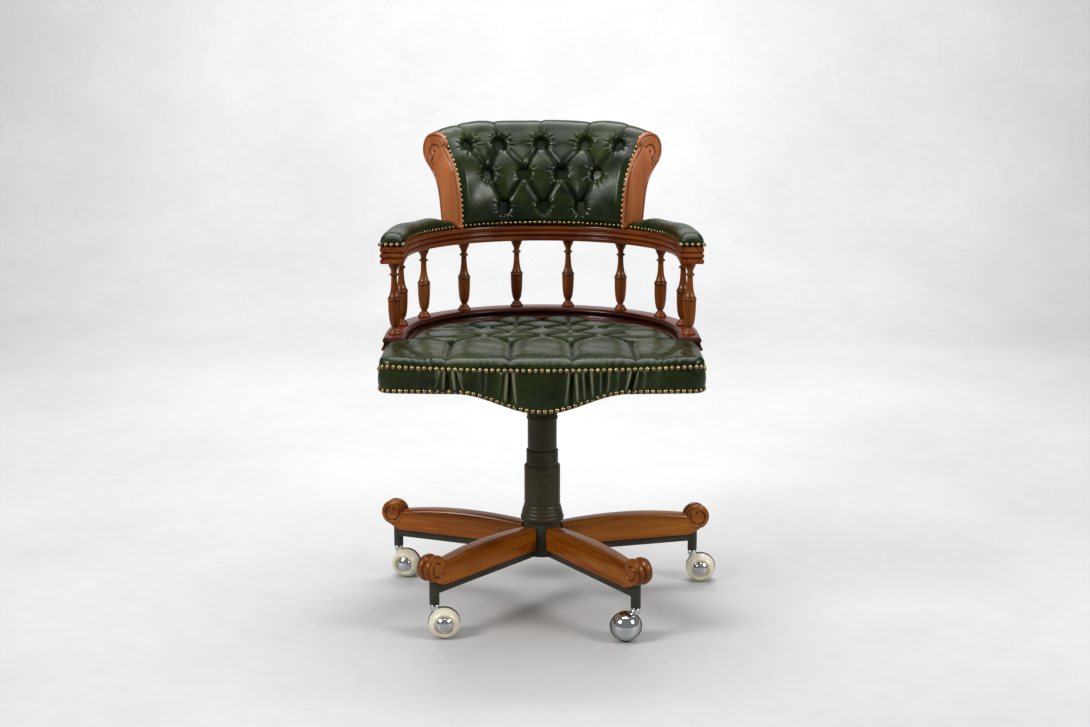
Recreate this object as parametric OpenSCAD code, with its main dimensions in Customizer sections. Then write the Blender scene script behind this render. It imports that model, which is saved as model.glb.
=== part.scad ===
// Captain's swivel chair. A buttoned seat and a rolled, buttoned back stand on a gallery
// of turned spindles. The column is a gas lift under three telescoping covers, on a
// five-armed steel base with wooden caps and ball casters.
// Millimetres. +Z is up, -Y is the front, and the origin is on the floor below the column.

/* [Seat] */
// Height of the seat frame's top edge above the floor
seat_z = 497; // [470:1:540]
// Height of the seat frame
frame_h = 42; // [36:1:60]
// Width of the seat frame's rim
rim_w = 30; // [20:1:40]
// Thickness of the board across the seat frame
board_t = 12; // [8:1:18]
// How far the front edge stands in front of the column
seat_front = 262; // [230:1:300]
// How far the front edge bows forward at the middle
front_bow = 10; // [4:1:16]
// Radius of the seat's two front corners
corner_r = 22; // [10:1:30]
// Height of the seat pad above the seat frame
pad_rise = 12; // [8:1:24]
// Thickness of the leather band round the seat frame
band_t = 4; // [3:0.5:6]
// Thickness of the front apron
apron_t = 11; // [8:1:16]
// How far the apron drops below the seat frame at its middle
apron_drop = 35; // [15:1:45]
// Half the width of the apron's dropped part
apron_half = 150; // [100:1:190]

/* [Rails] */
// Radius of the rails' centreline round the back
rail_r = 268; // [240:1:300]
// Width of both rails
rail_w = 43; // [34:1:50]
// How far the centre of the rails' arc is in front of the column
arc_fwd = 36; // [20:1:60]
// How far the rails' front ends are in front of the column
arm_fwd = 112; // [95:1:140]
// Height of the lower rail
low_rail_h = 25; // [20:1:34]
// Height of the upper rail
top_rail_h = 32; // [26:1:40]
// Depth of the grooves in the rails' mouldings
groove_d = 2; // [1:0.5:3]
// How far the seat frame's side is inside the rails' outer side
frame_inset = 12; // [6:1:16]
// Angle from the back to the joint between the upper rail's pieces
joint_a = 43; // [38:1:50]
// Height of the arm pads
arm_pad_h = 22; // [16:1:30]

/* [Spindles] */
// Height between the rails
spindle_h = 133; // [115:1:165]
// Largest diameter of a spindle
spindle_d = 25; // [20:1:30]
// Diameter of a spindle's tenons
tenon_d = 10; // [7:1:12]
// Length of a spindle's tenons
tenon_h = 9; // [6:1:12]
// How far the front spindles are in front of the column
front_spindle_fwd = 77; // [60:1:90]

/* [Back] */
// Angle from the middle of the back to its ends
back_a = 40; // [34:1:42]
// Thickness of the carved scroll boards at the back's ends
scroll_t = 14; // [10:1:18]
// Radius of the scroll at the top of a scroll board
scroll_r = 34; // [28:1:40]

/* [Tilt mechanism] */
// How far the tilt pin is in front of the column
pivot_fwd = 40; // [36:1:50]
// Diameter of the tilt pin
pivot_d = 12; // [8:1:16]
// Thickness of the tilt plate
plate_t = 5; // [4:0.5:8]
// Width of the tilt housing
housing_w = 90; // [80:1:100]
// Wall of the tilt housing
housing_wall = 4; // [3:0.5:5]
// Diameter of the tension screw
stud_d = 8; // [6:1:10]
// How far the tension screw is in front of the tilt pin
stud_fwd = 44; // [40:1:50]
// Diameter of the tension knob
knob_d = 40; // [34:1:46]
// Diameter of the tension spring
spring_d = 26; // [22:1:28]
// Diameter of the tension spring's wire
wire_d = 4; // [3:0.5:5]
// Diameter of the plate's bolts
bolt_d = 8; // [6:1:10]
// Reach of the height lever to the right of the column
lever_reach = 185; // [150:1:200]

/* [Column] */
// Outer diameter of the gas cylinder
cylinder_d = 50; // [48:1:50]
// Diameter of the pressure tube
tube_d = 28; // [26:1:30]
// Diameter of the piston rod
rod_d = 10; // [8:1:12]
// Height of the gas cylinder's top above the floor
cylinder_top = 300; // [290:1:310]
// Height of the lower cover's top above the floor
low_cover_top = 256; // [250:1:262]
// Height of the middle cover's top above the floor
mid_cover_top = 286; // [280:1:292]
// Outer diameter of the lower cover
low_cover_d = 68; // [68:1:72]
// Outer diameter of the middle cover
mid_cover_d = 60; // [60:1:61]
// Outer diameter of the upper cover
top_cover_d = 55; // [54.5:0.5:55.5]

/* [Base] */
// Distance from the column to each caster's stem
stem_r = 305; // [270:1:340]
// Turn of the first arm from the front
first_arm_a = -39; // [-54:1:-18]
// Radius of the hub
hub_r = 36; // [34:1:39]
// Height of the hub's underside above the floor
hub_z = 83; // [78:1:90]
// Width of a steel arm
arm_w = 16; // [14:1:18]
// Height of a steel arm
arm_h = 34; // [28:1:38]
// Thickness of the steel of an arm
arm_wall = 2; // [1.5:0.5:3]
// Width of a wooden cap
cap_w = 30; // [27:1:36]
// Height of a wooden cap's lower edge above the arm's
cap_lift = 15; // [12:1:20]
// Height of a wooden cap at its highest place
cap_h = 50; // [44:1:56]
// Radius of the scroll at a cap's end
cap_scroll_r = 25; // [22:1:28]
// Outer diameter of a stem's socket
socket_d = 18; // [17:1:20]

/* [Casters] */
// Diameter of a caster's ball
ball_d = 56; // [52:1:58]
// How far a ball's centre trails its stem
trail = 17; // [15:1:20]
// Diameter of a caster's stem
stem_d = 11; // [9:1:12]
// Diameter of a caster's axle
axle_d = 6; // [5:1:8]

/* [Hidden] */
$fn = 64;

// Clearances
fit = 0.05;
glue = 0.1;
slip = 0.5;
cut = 1;

// Colours
leather_c = [0.09, 0.15, 0.11];
wood_c = [0.45, 0.17, 0.07];
dark_wood_c = [0.30, 0.07, 0.04];
steel_c = [0.18, 0.19, 0.18];
cover_c = [0.22, 0.21, 0.16];
bright_c = [0.75, 0.76, 0.78];
ivory_c = [0.87, 0.83, 0.68];
ply_c = [0.70, 0.56, 0.38];

// Seat levels and outline
frame_z = seat_z - frame_h;
low_rail_top = seat_z + low_rail_h;
top_rail_z = low_rail_top + spindle_h;
top_rail_top = top_rail_z + top_rail_h;
rail_in = rail_r - rail_w/2;
rail_out = rail_r + rail_w/2;
frame_r = rail_out - frame_inset;
far = 2*frame_r;
// Radius of the front edge's bow
bow_r = (frame_r*frame_r + front_bow*front_bow)/(2*front_bow);
bow_y = -seat_front - front_bow + bow_r;
spindle_angles = [11, 35, 58, 79];

// Mechanism levels
plate_z = frame_z - plate_t;
pivot_z = frame_z - 27;
housing_z = frame_z - 51;
housing_top = frame_z - 11;
tube_top = frame_z - 31;
stud_y = -pivot_fwd - stud_fwd;
knob_z = housing_z - 20;
knob_h = 18;
cup_z = knob_z + knob_h + slip/2;
cup_t = 3;
lever_z = pivot_z - 10;
lever_x = housing_w/2 + 5;
trunnion_d = 6;
housing_front = -stud_y + 30;
housing_rear = 50;

// Column levels
hub_top = hub_z + 68;
cylinder_z = hub_z + 9;
cylinder_wall = 2;
bottom_t = 4;
bearing_h = 6;
shoulder_z = cylinder_z + bottom_t + bearing_h;
cover_wall = 1.5;
bush_h = 60;
tube_wall = 2;
tube_z = hub_z + 87;
gland_h = 6;

// Base levels
arm_top = hub_z + arm_h;
cap_z = hub_z + cap_lift;
socket_z = hub_z - 21;
socket_depth = 50;
axle_reach = 20;
scroll_x = stem_r + 6;
scroll_z = cap_z + 31;
screw_d = 4;
screw_places = [100, 230];
caster_turns = [4, 180, -6, 200, -14];

// Places a copy of its children on each of the base's arms: local +X points outwards
module on_arm(i) {
    rotate([0, 0, first_arm_a - 90 + 72*(i - 1)])
        children();
}

// Sweeps a section of radius and height round the rails' arc between two angles from the back
module arc_sweep(a1, a2) {
    translate([0, -arc_fwd, 0])
        rotate([0, 0, 90 - a2])
            rotate_extrude(angle = a2 - a1, $fn = 128)
                children();
}

// Sweeps a section forwards along the right arm
module arm_sweep(length) {
    translate([0, -arc_fwd, 0])
        rotate([90, 0, 0])
            linear_extrude(length)
                children();
}

// Turns its children to stand upright in the radial plane at an angle from the back
module radial_board(angle, thick) {
    translate([0, -arc_fwd, 0])
        rotate([0, 0, 90 - angle])
            rotate([90, 0, 0])
                linear_extrude(thick)
                    children();
}

// ---- base ----

module arm_channel() {
    inside = arm_w - 2*arm_wall;
    difference() {
        translate([hub_r - cut, -arm_w/2, hub_z])
            cube([stem_r - hub_r, arm_w, arm_h]);
        translate([hub_r - 2*cut, -inside/2, hub_z - cut])
            cube([stem_r - hub_r - socket_d/2, inside, arm_h - arm_wall + cut]);
        for (x = screw_places)
            translate([x, 0, hub_z])
                cylinder(h = arm_h + cut, d = screw_d + slip);
    }
}

module star_base() {
    color(steel_c)
        difference() {
            union() {
                translate([0, 0, hub_z])
                    cylinder(h = hub_top - hub_z, r = hub_r);
                for (i = [1:5])
                    on_arm(i) {
                        arm_channel();
                        translate([stem_r, 0, socket_z])
                            cylinder(h = arm_top - socket_z, d = socket_d);
                    }
            }
            translate([0, 0, hub_z - cut])
                cylinder(h = hub_top - hub_z + 2*cut, d = cylinder_d + 2*fit);
            for (i = [1:5])
                on_arm(i)
                    translate([stem_r, 0, socket_z - cut])
                        cylinder(h = socket_depth + cut, d = stem_d);
        }
}

// Side view of a cap: a crowned bar that ends in a scroll
module cap_outline(drop) {
    inner = hub_r + slip;
    neck = scroll_x - cap_scroll_r;
    middle = (inner + neck)/2;
    fall = 15;
    steps = 10;
    top = [for (i = [0:steps])
        let (x = inner + (neck - inner)*i/steps, t = (x - middle)/(neck - middle))
        [x, cap_z + cap_h - drop - (i == 0 ? fall/2 : fall*t*t*(t > 0 ? 1 : 0.5))]];
    polygon(concat([[scroll_x, cap_z + 7], [scroll_x - 14, cap_z], [inner, cap_z]],
                   top, [[scroll_x, scroll_z]]));
    translate([scroll_x, scroll_z])
        circle(r = cap_scroll_r - drop/2);
}

module leg_cap(i) {
    slab = cap_w - 6;
    groove = 2;
    color(wood_c)
        on_arm(i)
            difference() {
                union() {
                    for (side = [[slab, 0], [cap_w, 3]])
                        translate([0, side[0]/2, 0])
                            rotate([90, 0, 0])
                                linear_extrude(side[0])
                                    cap_outline(side[1]);
                }
                translate([0, -arm_w/2 - slip/2, cap_z - cut])
                    cube([stem_r, arm_w + slip, arm_top + slip/2 - cap_z + cut]);
                translate([stem_r, 0, cap_z - cut])
                    cylinder(h = arm_top + slip/2 - cap_z + cut, d = socket_d + slip);
                translate([scroll_x, 0, scroll_z])
                    rotate([90, 0, 0])
                        rotate_extrude()
                            translate([cap_scroll_r - groove, -groove])
                                square([groove + cut, 2*groove]);
                for (x = screw_places)
                    translate([x, 0, arm_top])
                        cylinder(h = 15, d = screw_d + 4*fit);
            }
}

module leg_cap_screws() {
    head_h = 2.5;
    shank = 14;
    color(bright_c)
        for (i = [1:5])
            on_arm(i)
                for (x = screw_places)
                    translate([x, 0, arm_top - arm_wall - fit])
                        rotate_extrude()
                            polygon([[0, -head_h], [3, -head_h], [4, -1], [4, 0],
                                     [screw_d/2, 0], [screw_d/2, shank], [0, shank]]);
}

module gas_cylinder() {
    inside = cylinder_d/2 - cylinder_wall;
    color(steel_c)
        rotate_extrude()
            polygon([[rod_d/2 + 2*fit, cylinder_z], [cylinder_d/2, cylinder_z],
                     [cylinder_d/2, cylinder_top], [inside, cylinder_top],
                     [inside, cylinder_z + bottom_t], [rod_d/2 + 2*fit, cylinder_z + bottom_t]]);
}

module thrust_bearing() {
    color(bright_c)
        translate([0, 0, cylinder_z + bottom_t])
            difference() {
                cylinder(h = bearing_h, d = rod_d + 16);
                translate([0, 0, -cut])
                    cylinder(h = bearing_h + 2*cut, d = rod_d + 2);
            }
}

module guide_bush() {
    color(ivory_c)
        translate([0, 0, cylinder_top - bush_h])
            difference() {
                cylinder(h = bush_h, d = cylinder_d - 2*cylinder_wall - 2*fit);
                translate([0, 0, -cut])
                    cylinder(h = bush_h + 2*cut, d = tube_d + 2*fit);
            }
}

module column_lower_cover() {
    r = low_cover_d/2;
    inside = r - 3;
    bore = cylinder_d/2 + slip;
    z = hub_top + glue;
    color(cover_c)
        rotate_extrude()
            polygon([[bore, z], [r + 7, z], [r + 7, z + 6], [r + 5, z + 8], [r + 5, z + 13],
                     [r + 3.5, z + 15], [r + 3.5, z + 20], [r + 1.5, z + 22], [r + 1.5, z + 26],
                     [r, z + 29], [r, low_cover_top], [inside, low_cover_top],
                     [inside, z + 5], [bore, z + 5]]);
}

module column_middle_cover() {
    r = mid_cover_d/2;
    z = mid_cover_top - 100;
    color(cover_c)
        rotate_extrude()
            polygon([[r - cover_wall, z], [r + 0.5, z], [r + 0.5, z + 4], [r, z + 5],
                     [r, mid_cover_top - 1], [r - 1, mid_cover_top],
                     [r - cover_wall, mid_cover_top]]);
}

module column_upper_cover() {
    r = top_cover_d/2;
    z = low_cover_top - 51;
    collar_z = housing_z - 58;
    top_z = housing_z - glue;
    color(cover_c)
        rotate_extrude()
            polygon([[r - cover_wall, z], [r, z], [r, collar_z], [r + 2, collar_z + 1],
                     [r + 2, collar_z + 4], [r + 1, collar_z + 5], [r + 1, collar_z + 9],
                     [r, collar_z + 10], [r, top_z], [r - cover_wall, top_z]]);
}

// ---- rod and lift ----

module piston_rod() {
    r = rod_d/2;
    clip_z = cylinder_z - 1.7;
    piston_z = tube_z + 75;
    piston = tube_d/2 - tube_wall - fit;
    color(bright_c)
        rotate_extrude()
            polygon([[0, clip_z - 3], [r, clip_z - 3], [r, clip_z], [r - 1, clip_z],
                     [r - 1, clip_z + 1.5], [r, clip_z + 1.5],
                     [r, shoulder_z + fit], [r + 5, shoulder_z + fit],
                     [r + 5, shoulder_z + 4], [r, shoulder_z + 4],
                     [r, piston_z], [piston, piston_z], [piston, piston_z + 12],
                     [0, piston_z + 12]]);
}

module cylinder_clip() {
    z = cylinder_z - 1.6;
    color(bright_c)
        translate([0, 0, z])
            difference() {
                cylinder(h = 1.2, d = rod_d + 8);
                translate([0, 0, -cut])
                    cylinder(h = 1.2 + 2*cut, d = rod_d - 2 + 2*fit);
                translate([0, -rod_d/2 + 1, -cut])
                    cube([rod_d, rod_d - 2, 1.2 + 2*cut]);
            }
}

module pressure_tube() {
    r = tube_d/2;
    inside = r - tube_wall;
    valve_r = 3;
    color(steel_c)
        rotate_extrude()
            polygon([[rod_d/2 + fit, tube_z], [r, tube_z], [r, tube_top], [valve_r, tube_top],
                     [valve_r, tube_top + 6], [0, tube_top + 6], [0, tube_top - 14],
                     [inside, tube_top - 14], [inside, tube_z + gland_h],
                     [rod_d/2 + fit, tube_z + gland_h]]);
}

// Side view of the housing's walls
module housing_side() {
    polygon([[-housing_front, housing_z], [housing_rear, housing_z],
             [housing_rear, housing_top - 17],
             [-pivot_fwd + pivot_d, housing_top], [-housing_front, housing_top]]);
}

module tilt_housing() {
    w = housing_w;
    inner = w - 2*housing_wall;
    floor_y = stud_y + knob_d/2 + 8;
    boss_d = tube_d + 12;
    boss_z = housing_z - 19;
    slot = stud_d + 8;
    lug_t = 4;
    lug_w = 11;
    notch_w = 16;
    trunnion_l = 40;
    color(steel_c)
        difference() {
            union() {
                // walls and front end, open below the spring
                difference() {
                    translate([-w/2, 0, 0])
                        rotate([90, 0, 90])
                            linear_extrude(w)
                                housing_side();
                    translate([-inner/2, -housing_front + housing_wall, housing_z - cut])
                        cube([inner, floor_y + housing_front - housing_wall,
                              housing_top - housing_z - housing_wall + cut]);
                    translate([-inner/2, floor_y - cut, housing_z + housing_wall])
                        cube([inner, housing_rear - housing_wall - floor_y + cut, frame_h]);
                }
                translate([0, 0, boss_z])
                    cylinder(h = tube_top - boss_z, d = boss_d);
                for (side = [-1, 1])
                    translate([w/2 - cut, side*12.5 - lug_t/2, lever_z - 6])
                        cube([lug_w, lug_t, 12]);
            }
            translate([0, 0, boss_z - cut])
                cylinder(h = tube_top - boss_z + 2*cut, d = tube_d + 2*fit);
            translate([-w/2 - cut, -pivot_fwd, pivot_z])
                rotate([0, 90, 0])
                    cylinder(h = w + 2*cut, d = pivot_d + 2*fit);
            // slot for the tension screw
            translate([-slot/2, stud_y - slot/2, housing_top - 2*housing_wall])
                cube([slot, slot + 4, 3*housing_wall]);
            // notch for the lever
            translate([w/2 - housing_wall - cut, -notch_w/2, lever_z - notch_w/2])
                cube([housing_wall + 2*cut, notch_w, frame_h]);
            translate([lever_x, trunnion_l/2, lever_z])
                rotate([90, 0, 0])
                    cylinder(h = trunnion_l, d = trunnion_d + 2*fit);
        }
}

module tilt_pin() {
    ear_out = housing_w/2 + 2 + plate_t + 0.5;
    color(bright_c)
        translate([0, -pivot_fwd, pivot_z])
            rotate([0, 90, 0])
                rotate_extrude()
                    polygon([[0, -ear_out - 2], [pivot_d/2 + 2, -ear_out - 2],
                             [pivot_d/2 + 2, -ear_out], [pivot_d/2, -ear_out],
                             [pivot_d/2, ear_out], [pivot_d/2 + 2, ear_out],
                             [pivot_d/2 + 2, ear_out + 2], [0, ear_out + 2]]);
}

// The tension spring is a wire swept along a helix
module tension_spring() {
    turns = 5;
    rings = 20*turns;
    sides = 8;
    r = (spring_d - wire_d)/2;
    low = cup_z + cup_t + glue + wire_d/2;
    high = housing_top - housing_wall - glue - wire_d/2;
    points = [for (i = [0:rings]) for (j = [0:sides - 1])
        let (a = 360*turns*i/rings, b = 360*j/sides,
             d = r + wire_d/2*cos(b))
        [d*cos(a), d*sin(a), low + (high - low)*i/rings + wire_d/2*sin(b)]];
    walls = [for (i = [0:rings - 1]) for (j = [0:sides - 1])
        let (k = (j + 1) % sides)
        [i*sides + j, i*sides + k, (i + 1)*sides + k, (i + 1)*sides + j]];
    start = [for (j = [sides - 1:-1:0]) j];
    end = [for (j = [0:sides - 1]) rings*sides + j];
    color(bright_c)
        translate([0, stud_y, 0])
            polyhedron(points = points, faces = concat(walls, [start, end]));
}

module spring_cup() {
    color(bright_c)
        translate([0, stud_y, cup_z])
            difference() {
                cylinder(h = cup_t, d = spring_d + 4);
                translate([0, 0, -cut])
                    cylinder(h = cup_t + 2*cut, d = stud_d + slip);
            }
}

module tension_knob() {
    grips = 8;
    grip_d = 12;
    color(steel_c)
        translate([0, stud_y, knob_z])
            difference() {
                cylinder(h = knob_h, d = knob_d);
                translate([0, 0, 4])
                    cylinder(h = knob_h, d = stud_d + 2*fit);
                // finger hollows round the rim
                for (i = [1:grips])
                    rotate([0, 0, i*360/grips])
                        translate([knob_d/2 + 3, 0, -cut])
                            cylinder(h = knob_h + 2*cut, d = grip_d);
            }
}

module height_lever() {
    x = lever_x;
    z = lever_z;
    grip_l = 45;
    color(steel_c)
        union() {
            translate([0, 5, 0])
                rotate([90, 0, 0])
                    linear_extrude(10)
                        polygon([[x + 6, z - 4], [x + 6, z + 4], [x - 6, z + 5],
                                 [x - 18, tube_top + 13], [-5, tube_top + 13],
                                 [-5, tube_top + 10], [x - 20, tube_top + 10],
                                 [x - 10, z - 4]]);
            translate([x, 14, z])
                rotate([90, 0, 0])
                    cylinder(h = 28, d = trunnion_d);
            translate([x + 4, 0, z])
                rotate([0, 90, 0])
                    cylinder(h = lever_reach - x - 10, d = 7);
            translate([lever_reach - grip_l, 0, z])
                rotate([0, 90, 0])
                    rotate_extrude()
                        polygon([[0, 0], [5, 0], [6, 4], [6, grip_l - 4], [4, grip_l], [0, grip_l]]);
        }
}

// ---- seat ----

module tilt_plate() {
    half_w = 85;
    front = -stud_y + 24;
    rear = 100;
    ear_x = housing_w/2 + 2;
    stud_end = knob_z + 4.5;
    color(steel_c)
        difference() {
            union() {
                translate([-half_w, -front, plate_z])
                    cube([2*half_w, front + rear, plate_t - glue]);
                for (side = [-1, 1])
                    translate([side > 0 ? ear_x : -ear_x - plate_t, -pivot_fwd - 18, pivot_z - 12])
                        cube([plate_t, 36, plate_z - pivot_z + 12 + cut]);
                translate([0, stud_y, stud_end])
                    cylinder(h = plate_z - stud_end + cut, d = stud_d);
            }
            translate([-half_w, -pivot_fwd, pivot_z])
                rotate([0, 90, 0])
                    cylinder(h = 2*half_w, d = pivot_d + 2*fit);
            plate_bolt_places()
                translate([0, 0, plate_z - cut])
                    cylinder(h = plate_t + 2*cut, d = bolt_d + slip);
        }
}

module plate_bolt_places() {
    for (x = [-68, 68])
        for (y = [-85, 80])
            translate([x, y, 0])
                children();
}

module plate_bolts() {
    color(bright_c)
        plate_bolt_places() {
            translate([0, 0, plate_z - 5.1])
                cylinder(h = 5, d = bolt_d*1.7, $fn = 6);
            translate([0, 0, plate_z - 0.2])
                cylinder(h = plate_t + board_t - 2, d = bolt_d);
        }
}

// Plan of the seat frame, grown outwards by an amount: straight sides, a round back and a
// bowed front with round corners
module seat_plan(grow) {
    r = frame_r + grow;
    corner_y = -seat_front - grow + corner_r;
    intersection() {
        union() {
            translate([0, -arc_fwd])
                circle(r = r, $fn = 128);
            translate([-r, corner_y])
                square([2*r, -arc_fwd - corner_y]);
            translate([-r + corner_r, -far])
                square([2*(r - corner_r), far - arc_fwd]);
            for (side = [-1, 1])
                translate([side*(r - corner_r), corner_y])
                    circle(r = corner_r);
        }
        translate([0, bow_y])
            circle(r = bow_r + grow, $fn = 360);
    }
}

module seat_frame() {
    color(ply_c)
        difference() {
            translate([0, 0, frame_z])
                linear_extrude(frame_h)
                    seat_plan(0);
            translate([0, 0, frame_z + board_t])
                linear_extrude(frame_h)
                    seat_plan(-rim_w);
            plate_bolt_places()
                translate([0, 0, frame_z - cut])
                    cylinder(h = board_t + 2*cut, d = bolt_d + 2*fit);
            translate([0, stud_y, frame_z - cut])
                cylinder(h = 6, d = stud_d + 6);
        }
}

// The pad fills the frame, passes inside the lower rail and covers the seat's whole front
module seat_cushion() {
    well_z = frame_z + board_t + glue;
    rail_clear = rail_in - 1;
    side = frame_r + band_t;
    soft = 8;
    color(leather_c)
        union() {
            translate([0, 0, well_z])
                linear_extrude(seat_z - well_z + glue)
                    seat_plan(-rim_w - slip/2);
            for (layer = [[0, pad_rise/2], [soft, pad_rise]])
                translate([0, 0, seat_z + glue])
                    linear_extrude(layer[1])
                        intersection() {
                            seat_plan(apron_t - layer[0]);
                            translate([-side + layer[0], -far])
                                square([2*(side - layer[0]), 2*far]);
                            union() {
                                translate([0, -arc_fwd])
                                    circle(r = rail_clear - layer[0], $fn = 128);
                                translate([-rail_clear + layer[0], -far])
                                    square([2*(rail_clear - layer[0]), far - arc_fwd]);
                                translate([-far, -far])
                                    square([2*far, far - arm_fwd - 1]);
                            }
                        }
        }
}

// Front view of the apron: its lower edge falls to the middle in a double curve
module apron_outline() {
    steps = 20;
    half = frame_r + band_t;
    lower = [for (i = [-steps:steps])
        let (x = apron_half*i/steps)
        [x, frame_z - apron_drop*(1 + cos(180*i/steps))/2]];
    polygon(concat([[-half, seat_z], [-half, frame_z]], lower, [[half, frame_z], [half, seat_z]]));
}

module apron_slab() {
    depth = 3*apron_t + corner_r;
    translate([0, -seat_front + corner_r, 0])
        rotate([90, 0, 0])
            linear_extrude(depth)
                apron_outline();
}

module front_apron() {
    low = frame_z - apron_drop - cut;
    color(leather_c)
        intersection() {
            apron_slab();
            translate([0, 0, low])
                linear_extrude(seat_z - low)
                    difference() {
                        intersection() {
                            seat_plan(apron_t);
                            translate([-frame_r - band_t, -far])
                                square([2*(frame_r + band_t), far]);
                        }
                        seat_plan(glue);
                    }
        }
}

module side_band() {
    color(leather_c)
        translate([0, 0, frame_z])
            linear_extrude(frame_h)
                difference() {
                    seat_plan(band_t);
                    seat_plan(glue);
                    translate([-far, -far])
                        square([2*far, far - seat_front + corner_r + glue]);
                }
}

// ---- rails and spindles ----

module low_rail_section() {
    i = rail_in;
    o = rail_out;
    z = seat_z + glue;
    g = groove_d;
    h = low_rail_h - glue;
    polygon([[i + 2, z], [i, z + 1], [i, z + 5], [i + g, z + 6.5], [i + g, z + 8],
             [i + g + 2, z + 9], [i + g + 2, z + 15], [i + g, z + 16], [i + g, z + h - 4],
             [i + g + 1, z + h - 1], [i + g + 4, z + h],
             [o - 4, z + h], [o - 1, z + h - 1], [o, z + h - 4], [o, z + 2], [o - 2, z]]);
}

module top_rail_section() {
    i = rail_in;
    o = rail_out;
    z = top_rail_z;
    g = groove_d;
    h = top_rail_h;
    polygon([[i + 3, z], [i + 1, z + 1], [i, z + 3], [i, z + 8], [i + g, z + 9],
             [i + g, z + 11], [i, z + 12], [i, z + 18], [i + g, z + 19], [i + g, z + 21],
             [i, z + 22], [i, z + h - 3], [i + 1, z + h - 1], [i + 3, z + h],
             [o - 3, z + h], [o - 1, z + h - 1], [o, z + h - 3], [o, z + 3], [o - 1, z + 1],
             [o - 3, z]]);
}

function spindle_place(i) =
    i == 5 ? [rail_r, -front_spindle_fwd]
           : [rail_r*sin(spindle_angles[i - 1]), rail_r*cos(spindle_angles[i - 1]) - arc_fwd];

// Sockets for the tenons, with their mouths at a height, going up or down
module tenon_sockets(z, up) {
    depth = tenon_h + 1;
    for (side = [-1, 1])
        for (i = [1:5])
            translate([side*spindle_place(i)[0], spindle_place(i)[1], up ? z - cut : z - depth])
                cylinder(h = depth + cut, d = tenon_d + 2*fit);
}

module lower_rail() {
    run = arm_fwd - arc_fwd;
    color(dark_wood_c)
        difference() {
            union() {
                arc_sweep(-90, 90)
                    low_rail_section();
                for (m = [0, 1])
                    mirror([m, 0, 0])
                        arm_sweep(run)
                            low_rail_section();
            }
            tenon_sockets(low_rail_top, false);
        }
}

module upper_rail_back() {
    color(wood_c)
        difference() {
            arc_sweep(-joint_a, joint_a)
                top_rail_section();
            tenon_sockets(top_rail_z, true);
        }
}

module upper_rail_side() {
    gap_a = 0.03;
    color(wood_c)
        difference() {
            union() {
                arc_sweep(joint_a + gap_a, 90)
                    top_rail_section();
                arm_sweep(arm_fwd - arc_fwd)
                    top_rail_section();
            }
            tenon_sockets(top_rail_z, true);
        }
}

module upper_rail_right() {
    upper_rail_side();
}

module upper_rail_left() {
    mirror([1, 0, 0])
        upper_rail_side();
}

// A turned spindle: disc foot, barrel, waist ring, swelling neck, collar ring and flared cup
module spindle(i) {
    side = i > 5 ? 1 : -1;
    place = spindle_place(i > 5 ? i - 5 : i);
    r = spindle_d/2;
    neck = r*0.42;
    h = spindle_h - glue;
    waist = 66;
    ring = h - 25;
    barrel = [for (t = [0:0.2:1]) [neck + (r - 0.6 - neck)*sin(90*pow(t, 0.5)), 16 + (waist - 20)*t]];
    swell = [for (t = [0:0.2:1])
        [r - 0.8 - (r - 0.8 - neck)*sin(90*pow(t, 0.75)), waist + 2 + (ring - waist - 4)*t]];
    tenon = tenon_d/2;
    color(wood_c)
        translate([side*place[0], place[1], low_rail_top + glue/2])
            rotate_extrude($fn = 48)
                polygon(concat(
                    [[0, -tenon_h], [tenon, -tenon_h], [tenon, 0], [r - 0.5, 0], [r - 0.2, 3],
                     [r - 2, 6], [neck + 2, 8], [neck + 2, 10], [neck, 12]],
                    barrel,
                    [[r, waist - 2], [r, waist], [r - 0.8, waist + 1]],
                    swell,
                    [[neck + 3, ring], [neck + 3, ring + 3], [neck, ring + 5],
                     [neck + 1, ring + 11], [neck + 4, ring + 18], [r - 1.5, ring + 22],
                     [r - 1, h], [tenon, h], [tenon, h + tenon_h], [0, h + tenon_h]]));
}

// ---- arms and back ----

module arm_pad_section() {
    z = top_rail_top + glue;
    i = rail_in;
    o = rail_out;
    h = arm_pad_h;
    polygon([[i + 1, z], [i, z + h*0.3], [i + 4, z + h*0.72], [i + 12, z + h*0.95],
             [rail_r, z + h], [o - 12, z + h*0.95], [o - 4, z + h*0.72], [o, z + h*0.3],
             [o - 1, z]]);
}

module arm_pad_right() {
    // behind the scroll board, with room for its thickness where the arc is tightest
    start_a = back_a + 0.3 + asin(1.4*scroll_t/rail_r);
    color(leather_c)
        union() {
            arc_sweep(start_a, 90)
                arm_pad_section();
            arm_sweep(arm_fwd - arc_fwd - 1)
                arm_pad_section();
        }
}

module arm_pad_left() {
    mirror([1, 0, 0])
        arm_pad_right();
}

// Sections of the back are lists of [distance from the rail's centreline, height above the
// upper rail]. The board's front and rear lines are shared by the pieces that lie on them.
board_front = [[-6, 0], [-2, 52], [8, 92], [24, 118], [40, 134]];
board_rear = [[6, 0], [10, 50], [20, 86], [35, 109], [50, 124]];

function back_points(points) =
    [for (p = points) [rail_r + p[0], top_rail_top + glue + p[1]]];

function reversed(points) =
    [for (i = [len(points) - 1:-1:0]) points[i]];

// Moves a line of points along the radius
function shifted(points, by) =
    [for (p = points) [p[0] + by, p[1]]];

module back_frame() {
    color(ply_c)
        arc_sweep(-back_a, back_a)
            polygon(back_points(concat(board_front, reversed(board_rear))));
}

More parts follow.
